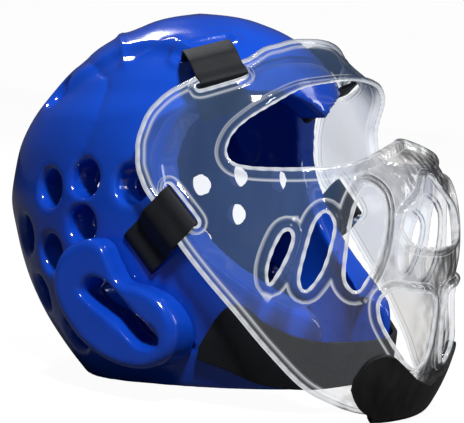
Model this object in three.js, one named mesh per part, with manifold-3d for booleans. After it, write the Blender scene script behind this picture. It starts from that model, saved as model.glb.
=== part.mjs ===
// Full head guard for boxing: a dipped-foam shell, two ear pads, a clear face shield with a chin
// bumper, four webbing straps that hold the shield, and a wide chin strap.
// Millimetres, +Z up. The face looks along -Y and the wearer's right side is at -X.
import * as THREE from 'three';
import { mergeVertices } from 'three/addons/utils/BufferGeometryUtils.js';
import Module from 'manifold-3d';

const wasm = await Module();
wasm.setup();

// Foam shell
const shellHalfWidth = 98;
const shellFrontReach = 134;
const shellBackReach = 139;
const shellHeight = 236;
const shellSquareness = 2.15;
const shellWall = 21;
const outerFacets = { rows: 17, columns: 38 };
const liningFacets = { rows: 9, columns: 20 };
const crownPanelRaise = 3.5;
const crownPanelHalfShare = 0.56;
const crownPanelEdge = 9;
const crownPanelUps = [0.70, 0.80];
const flankValleyAngle = 98;
const flankValleyLean = 10;
const flankValleyDepth = 3;
const flankValleyWidth = 11;
const flankValleyMiddleUp = 0.75;
const flankValleyUps = [0.58, 0.68, 0.88, 0.94];
const browPeakDrop = 15;
const browPeakHalfWidth = 38;
const chinGapHalfWidth = 40;
const chinGapDepth = 50;
const chinGapTop = 50;
const ventSides = 8;
const ventRadius = 10.5;
const ventLipRadius = 14.5;
const ventLipDepth = 4.5;
const rimFlattening = 1.5;

// Ear pads
const earPadStand = 18;
const earPadFaceReach = shellHalfWidth + earPadStand;
const earPadRound = 6;
const earPadToeIn = 0.1;
const earSlotClearance = 1.5;

// Face shield
const shieldSideClearance = 7;
const shieldFrontClearance = 43;
const shieldHalfWidth = shellHalfWidth + shieldSideClearance;
const shieldReach = shellFrontReach + shieldFrontClearance;
const shieldHeight = 217;
const shieldSquareness = 2.05;
const shieldWall = 2.6;
const muzzleCornerRaise = 3;
const muzzleCornerAngle = 14;
const muzzleCornerSpread = 7;
const shieldLipRaise = 1.8;
const shieldLipWidth = 4.5;
const shieldLipOverlap = 0.8;

// Chin bumper
const bumperWall = 4;
const bumperHalfSpan = 61;
const bumperDrop = 20;
const bumperInturn = 17;

// Webbing
const strapWidth = 30;
const strapThickness = 2;
const strapSlitEase = 1.5;
const sideStrapDive = 14;
const topStrapDive = 18;
const chinStrapThickness = 3;
const chinStrapEndAngle = 55;

// Gap that separate pieces keep
const fitGap = 0.35;

// Shell sections from the neck rim to the crown, as shares of the four shell sizes
const shellSections = [
  { up: 0.000, half: 0.827, front: 0.978, back: 0.489 },
  { up: 0.060, half: 0.883, front: 0.989, back: 0.604 },
  { up: 0.145, half: 0.939, front: 1.000, back: 0.741 },
  { up: 0.229, half: 0.974, front: 0.985, back: 0.842 },
  { up: 0.305, half: 0.993, front: 0.918, back: 0.906 },
  { up: 0.390, half: 1.000, front: 0.869, back: 0.957 },
  { up: 0.475, half: 1.000, front: 0.813, back: 0.993 },
  { up: 0.551, half: 0.990, front: 0.784, back: 0.971 },
  { up: 0.636, half: 0.964, front: 0.757, back: 0.928 },
  { up: 0.712, half: 0.908, front: 0.731, back: 0.849 },
  { up: 0.771, half: 0.847, front: 0.705, back: 0.755 },
  { up: 0.822, half: 0.776, front: 0.672, back: 0.669 },
  { up: 0.873, half: 0.663, front: 0.597, back: 0.576 },
  { up: 0.915, half: 0.536, front: 0.507, back: 0.475 },
  { up: 0.958, half: 0.357, front: 0.358, back: 0.309 },
  { up: 0.987, half: 0.180, front: 0.182, back: 0.160 },
  { up: 1.000, half: 0.000, front: 0.000, back: 0.000 },
];

// Edge of the face opening seen from the side, as shares of front reach and shell height
const faceOpening = [
  { fore: 0.463, up: 0.765 },
  { fore: 0.373, up: 0.742 },
  { fore: 0.306, up: 0.703 },
  { fore: 0.269, up: 0.648 },
  { fore: 0.254, up: 0.589 },
  { fore: 0.269, up: 0.538 },
  { fore: 0.306, up: 0.487 },
  { fore: 0.366, up: 0.428 },
  { fore: 0.455, up: 0.360 },
  { fore: 0.545, up: 0.314 },
  { fore: 0.650, up: 0.267 },
  { fore: 0.769, up: 0.222 },
  { fore: 0.850, up: 0.199 },
  { fore: 0.890, up: 0.165 },
  { fore: 0.896, up: 0.100 },
  { fore: 0.890, up: 0.000 },
];

// Vents of one side: angle round the head from the face, and height as a share of the shell
const vents = [
  { around: 81, up: 0.530 },
  { around: 103, up: 0.542 },
  { around: 121, up: 0.513 },
  { around: 104, up: 0.419 },
  { around: 138, up: 0.381 },
  { around: 121, up: 0.335 },
  { around: 134, up: 0.218 },
  { around: 114, up: 0.123 },
  { around: 141, up: 0.782 },
  { around: 160, up: 0.500 },
];

// Ear pad outline and its slot seen from the side, as shares of half width and shell height
const earPadOutline = [
  { fore: -0.03, up: 0.390 },
  { fore: -0.23, up: 0.356 },
  { fore: -0.31, up: 0.275 },
  { fore: -0.25, up: 0.195 },
  { fore: -0.08, up: 0.112 },
  { fore: 0.15, up: 0.064 },
  { fore: 0.38, up: 0.058 },
  { fore: 0.54, up: 0.098 },
  { fore: 0.58, up: 0.165 },
  { fore: 0.49, up: 0.235 },
  { fore: 0.35, up: 0.266 },
  { fore: 0.19, up: 0.282 },
  { fore: 0.12, up: 0.330 },
  { fore: 0.06, up: 0.374 },
];
const earSlotOutline = [
  { fore: -0.09, up: 0.250 },
  { fore: -0.02, up: 0.286 },
  { fore: 0.10, up: 0.275 },
  { fore: 0.28, up: 0.205 },
  { fore: 0.44, up: 0.160 },
  { fore: 0.46, up: 0.125 },
  { fore: 0.34, up: 0.117 },
  { fore: 0.16, up: 0.175 },
  { fore: -0.02, up: 0.222 },
];

// Shield sections from the chin to the top edge, as shares of the shield's top height,
// half width and reach
const shieldSections = [
  { up: -0.100, half: 0.876, reach: 0.830 },
  { up: -0.045, half: 0.924, reach: 0.893 },
  { up: 0.023, half: 0.952, reach: 0.938 },
  { up: 0.092, half: 0.971, reach: 0.966 },
  { up: 0.184, half: 0.981, reach: 0.983 },
  { up: 0.286, half: 0.990, reach: 0.994 },
  { up: 0.392, half: 1.000, reach: 0.994 },
  { up: 0.521, half: 1.000, reach: 0.972 },
  { up: 0.599, half: 1.000, reach: 0.938 },
  { up: 0.641, half: 1.000, reach: 0.904 },
  { up: 0.682, half: 1.000, reach: 0.847 },
  { up: 0.714, half: 0.995, reach: 0.797 },
  { up: 0.760, half: 0.981, reach: 0.746 },
  { up: 0.820, half: 0.943, reach: 0.712 },
  { up: 0.876, half: 0.895, reach: 0.644 },
  { up: 0.912, half: 0.838, reach: 0.588 },
  { up: 0.954, half: 0.762, reach: 0.537 },
  { up: 1.000, half: 0.686, reach: 0.486 },
];

// Shield outline: distance round the surface from the middle as a share of the half span,
// and the lower and upper edge there as shares of the shield's top height
const shieldHalfSpan = 200;
const shieldOutline = [
  { around: 0.000, low: -0.062, high: 0.988 },
  { around: 0.155, low: -0.058, high: 0.985 },
  { around: 0.241, low: -0.050, high: 0.981 },
  { around: 0.362, low: -0.017, high: 0.968 },
  { around: 0.460, low: 0.027, high: 0.956 },
  { around: 0.576, low: 0.126, high: 0.923 },
  { around: 0.679, low: 0.232, high: 0.908 },
  { around: 0.781, low: 0.334, high: 0.879 },
  { around: 0.852, low: 0.412, high: 0.852 },
  { around: 0.900, low: 0.475, high: 0.832 },
  { around: 0.940, low: 0.529, high: 0.803 },
  { around: 0.972, low: 0.565, high: 0.768 },
  { around: 1.000, low: 0.625, high: 0.700 },
];

// Shield openings: two edges of each, from end to end, with distance round the surface from the
// middle as a share of the half span, and height as a share of the shield's top height
const eyeOpening = {
  first: [
    { around: -0.701, up: 0.656 }, { around: -0.686, up: 0.637 }, { around: -0.642, up: 0.625 },
    { around: -0.528, up: 0.619 }, { around: -0.433, up: 0.620 }, { around: -0.315, up: 0.628 },
    { around: -0.181, up: 0.657 }, { around: -0.070, up: 0.680 }, { around: 0.000, up: 0.690 },
  ],
  second: [
    { around: -0.703, up: 0.665 }, { around: -0.699, up: 0.682 }, { around: -0.673, up: 0.719 },
    { around: -0.608, up: 0.760 }, { around: -0.477, up: 0.811 }, { around: -0.372, up: 0.837 },
    { around: -0.200, up: 0.853 }, { around: -0.080, up: 0.860 }, { around: 0.000, up: 0.862 },
  ],
};
const cheekSlots = [
  {
    first: [
      { around: -0.577, up: 0.308 }, { around: -0.580, up: 0.352 }, { around: -0.556, up: 0.420 },
      { around: -0.530, up: 0.457 }, { around: -0.518, up: 0.460 },
    ],
    second: [
      { around: -0.570, up: 0.306 }, { around: -0.540, up: 0.352 }, { around: -0.513, up: 0.407 },
      { around: -0.504, up: 0.440 }, { around: -0.510, up: 0.458 },
    ],
  },
  {
    first: [
      { around: -0.478, up: 0.292 }, { around: -0.488, up: 0.320 }, { around: -0.469, up: 0.407 },
      { around: -0.440, up: 0.482 }, { around: -0.414, up: 0.508 },
    ],
    second: [
      { around: -0.462, up: 0.291 }, { around: -0.425, up: 0.339 }, { around: -0.399, up: 0.407 },
      { around: -0.384, up: 0.478 }, { around: -0.402, up: 0.508 },
    ],
  },
  {
    first: [
      { around: -0.330, up: 0.288 }, { around: -0.356, up: 0.318 }, { around: -0.352, up: 0.407 },
      { around: -0.324, up: 0.514 }, { around: -0.282, up: 0.575 },
    ],
    second: [
      { around: -0.310, up: 0.292 }, { around: -0.270, up: 0.365 }, { around: -0.239, up: 0.459 },
      { around: -0.234, up: 0.546 }, { around: -0.262, up: 0.574 },
    ],
  },
];
const noseOpening = {
  first: [
    { around: -0.150, up: 0.416 }, { around: -0.096, up: 0.404 }, { around: 0.000, up: 0.398 },
    { around: 0.096, up: 0.404 }, { around: 0.150, up: 0.416 },
  ],
  second: [
    { around: -0.181, up: 0.456 }, { around: -0.162, up: 0.496 }, { around: -0.070, up: 0.549 },
    { around: -0.030, up: 0.585 }, { around: 0.000, up: 0.597 }, { around: 0.030, up: 0.585 },
    { around: 0.070, up: 0.549 }, { around: 0.162, up: 0.496 }, { around: 0.181, up: 0.456 },
  ],
};
const mouthOpening = {
  first: [
    { around: -0.208, up: 0.298 }, { around: -0.250, up: 0.272 }, { around: -0.250, up: 0.220 },
    { around: -0.192, up: 0.135 }, { around: -0.136, up: 0.087 }, { around: -0.095, up: 0.068 },
  ],
  second: [
    { around: -0.135, up: 0.287 }, { around: -0.050, up: 0.274 }, { around: -0.030, up: 0.246 },
    { around: -0.030, up: 0.164 }, { around: -0.048, up: 0.095 }, { around: -0.075, up: 0.070 },
  ],
};

// Upper edge of the chin bumper, with shares of its half span and of the shield's top height
const bumperOutline = [
  { around: 0.00, top: 0.022, low: -0.062, wrap: 1.00 },
  { around: 0.25, top: 0.043, low: -0.058, wrap: 1.00 },
  { around: 0.41, top: 0.069, low: -0.054, wrap: 0.75 },
  { around: 0.55, top: 0.096, low: -0.050, wrap: 0.25 },
  { around: 0.64, top: 0.113, low: -0.045, wrap: 0.00 },
  { around: 0.80, top: 0.116, low: -0.028, wrap: 0.00 },
  { around: 0.92, top: 0.094, low: -0.004, wrap: 0.00 },
  { around: 1.00, top: 0.052, low: 0.028, wrap: 0.00 },
];

// Chin strap edges: share of its end angle, and heights as shares of the shell height
const chinStrapOutline = [
  { around: 0.00, low: 0.017, high: 0.119 },
  { around: 0.22, low: 0.010, high: 0.123 },
  { around: 0.43, low: 0.006, high: 0.133 },
  { around: 0.63, low: 0.020, high: 0.174 },
  { around: 0.79, low: 0.050, high: 0.226 },
  { around: 0.87, low: 0.064, high: 0.208 },
  { around: 1.00, low: 0.082, high: 0.115 },
];

// Strap routes in order from the outside end: angle round the head from the face in degrees,
// height as a share of the shell height, and the surface that the strap lies on there
const sideStrapRoute = [
  { around: 79.0, up: 0.338, on: 'shell', lift: -6.0 },
  { around: 76.0, up: 0.355, on: 'shell', lift: 0.6 },
  { around: 71.0, up: 0.388, on: 'shell', lift: 2.2 },
  { around: 67.0, up: 0.420, on: 'shield', lift: 0.3 },
  { around: 63.5, up: 0.448, on: 'shield', lift: 0.2 },
  { around: 61.8, up: 0.464, on: 'shield', lift: 0.1 },
  { around: 60.9, up: 0.474, on: 'shell', lift: 3.0 },
  { around: 60.9, up: 0.475, on: 'shell', lift: -7.0 },
  { around: 61.2, up: 0.473, on: 'shell', lift: -sideStrapDive },
];
const topStrapRoute = [
  { around: 53.4, up: 0.892, on: 'shell', lift: -7.0 },
  { around: 52.4, up: 0.876, on: 'shell', lift: 0.6 },
  { around: 51.6, up: 0.864, on: 'shell', lift: 4.5 },
  { around: 50.0, up: 0.842, on: 'shield', lift: 1.2 },
  { around: 48.4, up: 0.816, on: 'shield', lift: 0.2 },
  { around: 46.9, up: 0.794, on: 'shield', lift: 0.1 },
  { around: 46.2, up: 0.778, on: 'shell', lift: 8.0 },
  { around: 46.0, up: 0.757, on: 'shell', lift: 2.0 },
  { around: 46.0, up: 0.752, on: 'shell', lift: -8.0 },
  { around: 46.4, up: 0.756, on: 'shell', lift: -topStrapDive },
  { around: 47.2, up: 0.775, on: 'lining', lift: 1.4 },
];

function smoothRows(rows, key, names) {
  const positions = rows.map((row) => row[key]);
  const values = rows.flatMap((row) => names.map((name) => row[name]));
  const curve = new THREE.CubicInterpolant(positions, values, names.length);
  return (at) => Array.from(curve.evaluate(THREE.MathUtils.clamp(at, positions[0], positions.at(-1))));
}

function smoothStep(from, to, value) {
  return THREE.MathUtils.smoothstep(value, from, to);
}

function solidOf(geometry) {
  const bare = geometry.index ? geometry.toNonIndexed() : geometry.clone();
  bare.deleteAttribute('normal');
  bare.deleteAttribute('uv');
  const merged = mergeVertices(bare, 1e-4);
  return new wasm.Manifold(new wasm.Mesh({
    numProp: 3,
    vertProperties: new Float32Array(merged.attributes.position.array),
    triVerts: new Uint32Array(merged.index.array),
  }));
}

function geometryOf(solid) {
  const mesh = solid.getMesh();
  const geometry = new THREE.BufferGeometry();
  geometry.setAttribute('position', new THREE.BufferAttribute(mesh.vertProperties, 3));
  geometry.setIndex(new THREE.BufferAttribute(mesh.triVerts, 1));
  return geometry;
}

// Closed body from quads and triangles of points
function bodyOf(faces) {
  const corners = [];
  for (const face of faces) {
    for (let i = 1; i + 1 < face.length; i += 1) {
      corners.push(face[0], face[i], face[i + 1]);
    }
  }
  const geometry = new THREE.BufferGeometry().setFromPoints(corners);
  const solid = solidOf(geometry);
  if (solid.volume() > 0) {
    return solid;
  }
  return solidOf(new THREE.BufferGeometry().setFromPoints(corners.reverse()));
}

// Closed body between two grids of points with the same rows and columns
function bodyBetween(outer, inner) {
  const rows = outer.length;
  const columns = outer[0].length;
  const faces = [];
  for (let i = 0; i + 1 < rows; i += 1) {
    for (let j = 0; j + 1 < columns; j += 1) {
      faces.push([outer[i][j], outer[i][j + 1], outer[i + 1][j + 1], outer[i + 1][j]]);
      faces.push([inner[i][j], inner[i + 1][j], inner[i + 1][j + 1], inner[i][j + 1]]);
    }
    faces.push([outer[i][0], outer[i + 1][0], inner[i + 1][0], inner[i][0]]);
    faces.push([outer[i + 1].at(-1), outer[i].at(-1), inner[i].at(-1), inner[i + 1].at(-1)]);
  }
  for (let j = 0; j + 1 < columns; j += 1) {
    faces.push([outer[0][j + 1], outer[0][j], inner[0][j], inner[0][j + 1]]);
    faces.push([outer.at(-1)[j], outer.at(-1)[j + 1], inner.at(-1)[j + 1], inner.at(-1)[j]]);
  }
  return bodyOf(faces);
}

// Closed body of stacked rings of points, with a flat or pointed first and last ring
function bodyOfRings(rings) {
  const faces = [];
  for (let i = 0; i + 1 < rings.length; i += 1) {
    const count = rings[i].length;
    for (let j = 0; j < count; j += 1) {
      const next = (j + 1) % count;
      faces.push([rings[i][j], rings[i][next], rings[i + 1][next], rings[i + 1][j]]);
    }
  }
  for (const [ring, turn] of [[rings[0], -1], [rings.at(-1), 1]]) {
    const middle = ring.reduce((sum, point) => sum.add(point), new THREE.Vector3()).divideScalar(ring.length);
    for (let j = 0; j < ring.length; j += 1) {
      const next = ring[(j + 1) % ring.length];
      faces.push(turn > 0 ? [middle, ring[j], next] : [middle, next, ring[j]]);
    }
  }
  return bodyOf(faces);
}

function mirrored(solid) {
  return solid.mirror([1, 0, 0]);
}

// Outer surface of the shell
const shellSection = smoothRows(shellSections, 'up', ['half', 'front', 'back']);

function superellipseRadius(angle, half, reach, power) {
  const side = Math.abs(Math.sin(angle)) / half;
  const fore = Math.abs(Math.cos(angle)) / reach;
  return (side ** power + fore ** power) ** (-1 / power);
}

// Raised middle panel over the crown and a shallow valley down each flank
function shellRelief(angle, up) {
  const across = Math.abs(Math.sin(angle)) * Math.sqrt(Math.max(0, 1 - up ** 4));
  const edge = crownPanelEdge / shellHalfWidth;
  const onPanel = 1 - smoothStep(crownPanelHalfShare, crownPanelHalfShare + edge, across);
  const highUp = smoothStep(crownPanelUps[0], crownPanelUps[1], up);
  const degrees = THREE.MathUtils.radToDeg(Math.abs(angle));
  const valleyAt = flankValleyAngle + flankValleyLean * (flankValleyMiddleUp - up);
  const spread = THREE.MathUtils.radToDeg(flankValleyWidth / shellHalfWidth);
  const inValley = Math.exp(-(((degrees - valleyAt) / spread) ** 2));
  const [low, full, fading, high] = flankValleyUps;
  const valleySpan = smoothStep(low, full, up) * (1 - smoothStep(fading, high, up));
  return -crownPanelRaise * (1 - onPanel) * highUp - flankValleyDepth * inValley * valleySpan;
}

function shellRadius(angle, up) {
  const [half, front, back] = shellSection(up);
  const reach = Math.cos(angle) > 0 ? front * shellFrontReach : back * shellBackReach;
  const tiny = 0.02;
  const wide = Math.max(half * shellHalfWidth, tiny);
  return superellipseRadius(angle, wide, Math.max(reach, tiny), shellSquareness);
}

function polarPoint(angle, radius, height) {
  return new THREE.Vector3(radius * Math.sin(angle), -radius * Math.cos(angle), height);
}

function shellPoint(angle, up) {
  const base = polarPoint(angle, shellRadius(angle, up), up * shellHeight);
  const relief = shellRelief(angle, up);
  const lean = new THREE.Vector3(base.x, base.y, Math.max(0, up - 0.5) * shellHeight).normalize();
  return base.addScaledVector(lean, relief);
}

function shellNormal(angle, up) {
  const step = 0.004;
  const high = Math.min(up + step, 0.999);
  const low = Math.max(high - 2 * step, 0);
  const along = shellPoint(angle + step, up).sub(shellPoint(angle - step, up));
  const rise = shellPoint(angle, high).sub(shellPoint(angle, low));
  return along.cross(rise).normalize();
}

function shellOffset(angle, up, offset) {
  if (up > 0.9985) {
    return new THREE.Vector3(0, 0, up * shellHeight + offset);
  }
  return shellPoint(angle, up).addScaledVector(shellNormal(angle, up), offset);
}

// Loft of the shell surface moved out or in by an offset, from the rim plane to the crown
function shellLoft(offset, { rows, columns }, extendDown) {
  const rings = [];
  for (let i = 0; i < rows; i += 1) {
    const up = Math.sin((i / rows) * Math.PI / 2) ** 1.1;
    const ring = [];
    for (let j = 0; j < columns; j += 1) {
      ring.push(shellOffset((j / columns) * 2 * Math.PI, up, offset));
    }
    rings.push(ring);
  }
  if (extendDown > 0) {
    rings.unshift(rings[0].map((point) => new THREE.Vector3(point.x, point.y, -extendDown)));
  } else {
    rings[0].forEach((point) => { point.z = 0; });
  }
  const top = shellOffset(0, 1, offset);
  const nearTop = rings.at(-1).map((point) => top.clone().lerp(point, 0.02));
  rings.push(nearTop);
  return bodyOfRings(rings);
}

// Body that clears the face opening: the side outline carried across, with a peak at the brow
function faceOpeningCutter() {
  const beyond = shellFrontReach * 1.4;
  const across = shellHalfWidth * 1.3;
  const shares = [0, 0.25, 0.5, 1];
  const side = shares.map((share) => share * browPeakHalfWidth).concat([across]);
  const stations = side.slice(1).reverse().map((x) => -x).concat(side);
  const rings = stations.map((x) => {
    const share = Math.max(0, 1 - Math.abs(x) / browPeakHalfWidth);
    const drop = browPeakDrop * share ** 1.7;
    const ring = [new THREE.Vector3(x, -beyond, faceOpening[0].up * shellHeight - drop)];
    faceOpening.forEach((row, index) => {
      const height = row.up * shellHeight - (index === 0 ? drop : 0);
      ring.push(new THREE.Vector3(x, -row.fore * shellFrontReach, height));
    });
    const last = faceOpening.at(-1);
    ring.push(new THREE.Vector3(x, -last.fore * shellFrontReach, -shellWall));
    ring.push(new THREE.Vector3(x, -beyond, -shellWall));
    return ring;
  });
  return bodyOfRings(rings);
}

// Body that parts the two wings of the shell below the face opening
function chinGapCutter() {
  const front = shellFrontReach * 1.1;
  const gap = wasm.Manifold.cube([chinGapHalfWidth * 2, front, chinGapTop + shellWall], false);
  return gap.translate([-chinGapHalfWidth, -shellFrontReach + chinGapDepth - front, -shellWall]);
}

function ventCutter(vent) {
  const angle = THREE.MathUtils.degToRad(-vent.around);
  const normal = shellNormal(angle, vent.up);
  const overhang = 3;
  const profile = [
    new THREE.Vector2(0, -shellWall * 2),
    new THREE.Vector2(ventRadius, -shellWall * 2),
    new THREE.Vector2(ventRadius, -ventLipDepth),
    new THREE.Vector2(ventLipRadius, overhang),
    new THREE.Vector2(0, overhang),
  ];
  const geometry = new THREE.LatheGeometry(profile, ventSides);
  const turn = new THREE.Quaternion().setFromUnitVectors(new THREE.Vector3(0, 1, 0), normal);
  geometry.applyQuaternion(turn);
  const seat = shellPoint(angle, vent.up);
  geometry.translate(seat.x, seat.y, seat.z);
  return solidOf(geometry);
}

function sideShape(outline, grow, divisions) {
  const points = outline.map((row) => new THREE.Vector3(row.fore * shellHalfWidth, row.up * shellHeight, 0));
  const curve = new THREE.CatmullRomCurve3(points, true, 'centripetal');
  const flat = curve.getSpacedPoints(divisions).slice(0, -1);
  const middle = flat.reduce((sum, point) => sum.add(point), new THREE.Vector3()).divideScalar(flat.length);
  return flat.map((point) => {
    const away = point.clone().sub(middle);
    const scale = 1 + grow / away.length();
    return new THREE.Vector2(middle.x + away.x * scale, middle.y + away.y * scale);
  });
}

// Loft of a side outline on the wearer's right: each stage is a distance from the middle plane
// and how far the outline is grown there
function sideLoft(outline, divisions, stages) {
  const rings = stages.map(({ off, grow }) => sideShape(outline, grow, divisions)
    .map((point) => new THREE.Vector3(earPadToeIn * point.x - off, -point.x, point.y)));
  return bodyOfRings(rings);
}

function makeHelmetShell() {
  const outer = shellLoft(0, outerFacets, 0);
  const lining = shellLoft(-shellWall, liningFacets, shellWall);
  let shell = outer.subtract(lining).subtract(faceOpeningCutter()).subtract(chinGapCutter());
  const slot = sideLoft(earSlotOutline, 13, [
    { off: shellHalfWidth * 0.4, grow: -earSlotClearance },
    { off: earPadFaceReach, grow: -earSlotClearance },
  ]);
  const cutters = vents.map(ventCutter).concat([slot], strapSlits());
  for (const cutter of cutters) {
    shell = shell.subtract(cutter).subtract(mirrored(cutter));
  }
  return shell;
}

function makeEarPad(seatSurface) {
  const root = shellHalfWidth * 0.5;
  const pad = sideLoft(earPadOutline, 28, [
    { off: root, grow: 0 },
    { off: earPadFaceReach - earPadRound, grow: 0 },
    { off: earPadFaceReach - earPadRound * 0.3, grow: -earPadRound * 0.3 },
    { off: earPadFaceReach, grow: -earPadRound },
  ]);
  const slot = sideLoft(earSlotOutline, 13, [
    { off: root - 1, grow: 0 },
    { off: earPadFaceReach - earPadRound * 0.6, grow: 0 },
    { off: earPadFaceReach, grow: earPadRound * 0.5 },
    { off: earPadFaceReach + 1, grow: earPadRound * 0.6 },
  ]);
  return pad.subtract(slot).subtract(seatSurface);
}

// Shield surface: distance round it is measured on its widest section
const shieldSection = smoothRows(shieldSections, 'up', ['half', 'reach']);

function shieldRadius(angle, up) {
  const [half, reach] = shieldSection(up);
  const degrees = THREE.MathUtils.radToDeg(Math.abs(angle));
  const atCorner = Math.exp(-(((degrees - muzzleCornerAngle) / muzzleCornerSpread) ** 2));
  const onMuzzle = smoothStep(-0.05, 0.15, up) * (1 - smoothStep(0.60, 0.70, up));
  const plain = superellipseRadius(angle, half * shieldHalfWidth, reach * shieldReach, shieldSquareness);
  return plain + muzzleCornerRaise * atCorner * onMuzzle;
}

const widestUp = 0.4;
const angleSteps = 400;
const roundTable = [0];
for (let i = 1; i <= angleSteps; i += 1) {
  const before = polarPoint(((i - 1) / angleSteps) * Math.PI / 2, 1, 0);
  before.multiplyScalar(shieldRadius(((i - 1) / angleSteps) * Math.PI / 2, widestUp));
  const after = polarPoint((i / angleSteps) * Math.PI / 2, 1, 0);
  after.multiplyScalar(shieldRadius((i / angleSteps) * Math.PI / 2, widestUp));
  roundTable.push(roundTable.at(-1) + before.distanceTo(after));
}

function angleAt(around) {
  const target = Math.abs(around);
  let index = roundTable.findIndex((length) => length > target);
  if (index < 0) {
    index = angleSteps;
  }
  const share = (target - roundTable[index - 1]) / (roundTable[index] - roundTable[index - 1]);
  return Math.sign(around) * ((index - 1 + share) / angleSteps) * Math.PI / 2;
}

function shieldSurface(angle, up) {
  return polarPoint(angle, shieldRadius(angle, up), up * shieldHeight);
}

function shieldOffset(around, up, offset) {
  const angle = angleAt(around);
  const step = 0.004;
  const along = shieldSurface(angle + step, up).sub(shieldSurface(angle - step, up));
  const rise = shieldSurface(angle, up + step).sub(shieldSurface(angle, up - step));
  return shieldSurface(angle, up).addScaledVector(along.cross(rise).normalize(), offset);
}

// Grid over the surface between two chains of equal length
function chainGrid(first, second, rows, offset) {
  const grid = [];
  for (let i = 0; i <= rows; i += 1) {
    const share = i / rows;
    grid.push(first.map((point, index) => {
      const other = second[index];
      const around = THREE.MathUtils.lerp(point.x, other.x, share);
      const up = THREE.MathUtils.lerp(point.y, other.y, share);
      return shieldOffset(around, up, offset);
    }));
  }
  return grid;
}

function resample(rows, count) {
  const points = rows.map((row) => new THREE.Vector3(row.around * shieldHalfSpan, row.up * shieldHeight, 0));
  const curve = new THREE.CatmullRomCurve3(points, false, 'centripetal');
  return curve.getSpacedPoints(count).map((point) => new THREE.Vector2(point.x, point.y / shieldHeight));
}

function doubled(rows) {
  const others = rows.slice(0, -1).reverse().map((row) => ({ ...row, around: -row.around }));
  return rows.concat(others);
}

function openingCutter(opening, count, rows) {
  const reach = shieldWall + shieldLipRaise + 6;
  const first = resample(opening.first, count);
  const second = resample(opening.second, count);
  return bodyBetween(chainGrid(first, second, rows, reach), chainGrid(first, second, rows, -reach));
}

// Raised lip round an opening, as a closed ring on the shield's outer face
function openingLip(opening, count) {
  const loop = resample(opening.first, count).concat(resample(opening.second, count).reverse());
  const flat = loop.map((point) => new THREE.Vector2(point.x, point.y * shieldHeight));
  const spaced = flat.filter((point, index) => point.distanceTo(flat.at(index - 1)) > 0.6);
  const turn = Math.sign(THREE.ShapeUtils.area(spaced));
  const grown = spaced.map((point, index) => {
    const before = spaced.at(index - 1);
    const after = spaced[(index + 1) % spaced.length];
    const run = after.clone().sub(before).normalize();
    const out = new THREE.Vector2(run.y, -run.x).multiplyScalar(turn);
    return {
      inner: point.clone().addScaledVector(out, -shieldLipOverlap),
      outer: point.clone().addScaledVector(out, shieldLipWidth),
    };
  });
  const low = shieldWall * 0.15;
  const high = shieldWall * 0.5 + shieldLipRaise;
  const at = (point, offset) => shieldOffset(point.x, point.y / shieldHeight, offset);
  const faces = [];
  const corners = grown.map(({ inner, outer }) => [
    at(inner, low), at(outer, low), at(inner, high),
  ]);
  corners.forEach((corner, index) => {
    const next = corners[(index + 1) % corners.length];
    for (let k = 0; k < 3; k += 1) {
      const l = (k + 1) % 3;
      faces.push([corner[k], corner[l], next[l], next[k]]);
    }
  });
  return bodyOf(faces);
}

function makeFaceShield() {
  const outline = smoothRows(shieldOutline, 'around', ['low', 'high']);
  const columns = 22;
  const rows = 8;
  const low = [];
  const high = [];
  for (let j = 0; j <= columns; j += 1) {
    const share = Math.sin((j / columns - 0.5) * Math.PI * 0.96) / Math.sin(Math.PI * 0.48);
    const [bottom, top] = outline(Math.abs(share));
    low.push(new THREE.Vector2(share * shieldHalfSpan, bottom));
    high.push(new THREE.Vector2(share * shieldHalfSpan, top));
  }
  const half = shieldWall / 2;
  let shield = bodyBetween(chainGrid(low, high, rows, half), chainGrid(low, high, rows, -half));
  const eye = { first: doubled(eyeOpening.first), second: doubled(eyeOpening.second) };
  const middle = [
    { opening: eye, count: 15, rows: 2 },
    { opening: noseOpening, count: 8, rows: 1 },
  ];
  const sided = [mouthOpening, ...cheekSlots].map((opening) => ({ opening, count: 5, rows: 1 }));
  for (const { opening, count } of middle) {
    shield = shield.add(openingLip(opening, count));
  }
  for (const { opening, count } of sided) {
    const lip = openingLip(opening, count);
    shield = shield.add(lip).add(mirrored(lip));
  }
  for (const { opening, count, rows: across } of middle) {
    shield = shield.subtract(openingCutter(opening, count, across));
  }
  for (const { opening, count, rows: across } of sided) {
    const cutter = openingCutter(opening, count, across);
    shield = shield.subtract(cutter).subtract(mirrored(cutter));
  }
  for (const slit of strapSlits()) {
    shield = shield.subtract(slit).subtract(mirrored(slit));
  }
  return shield;
}

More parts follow.
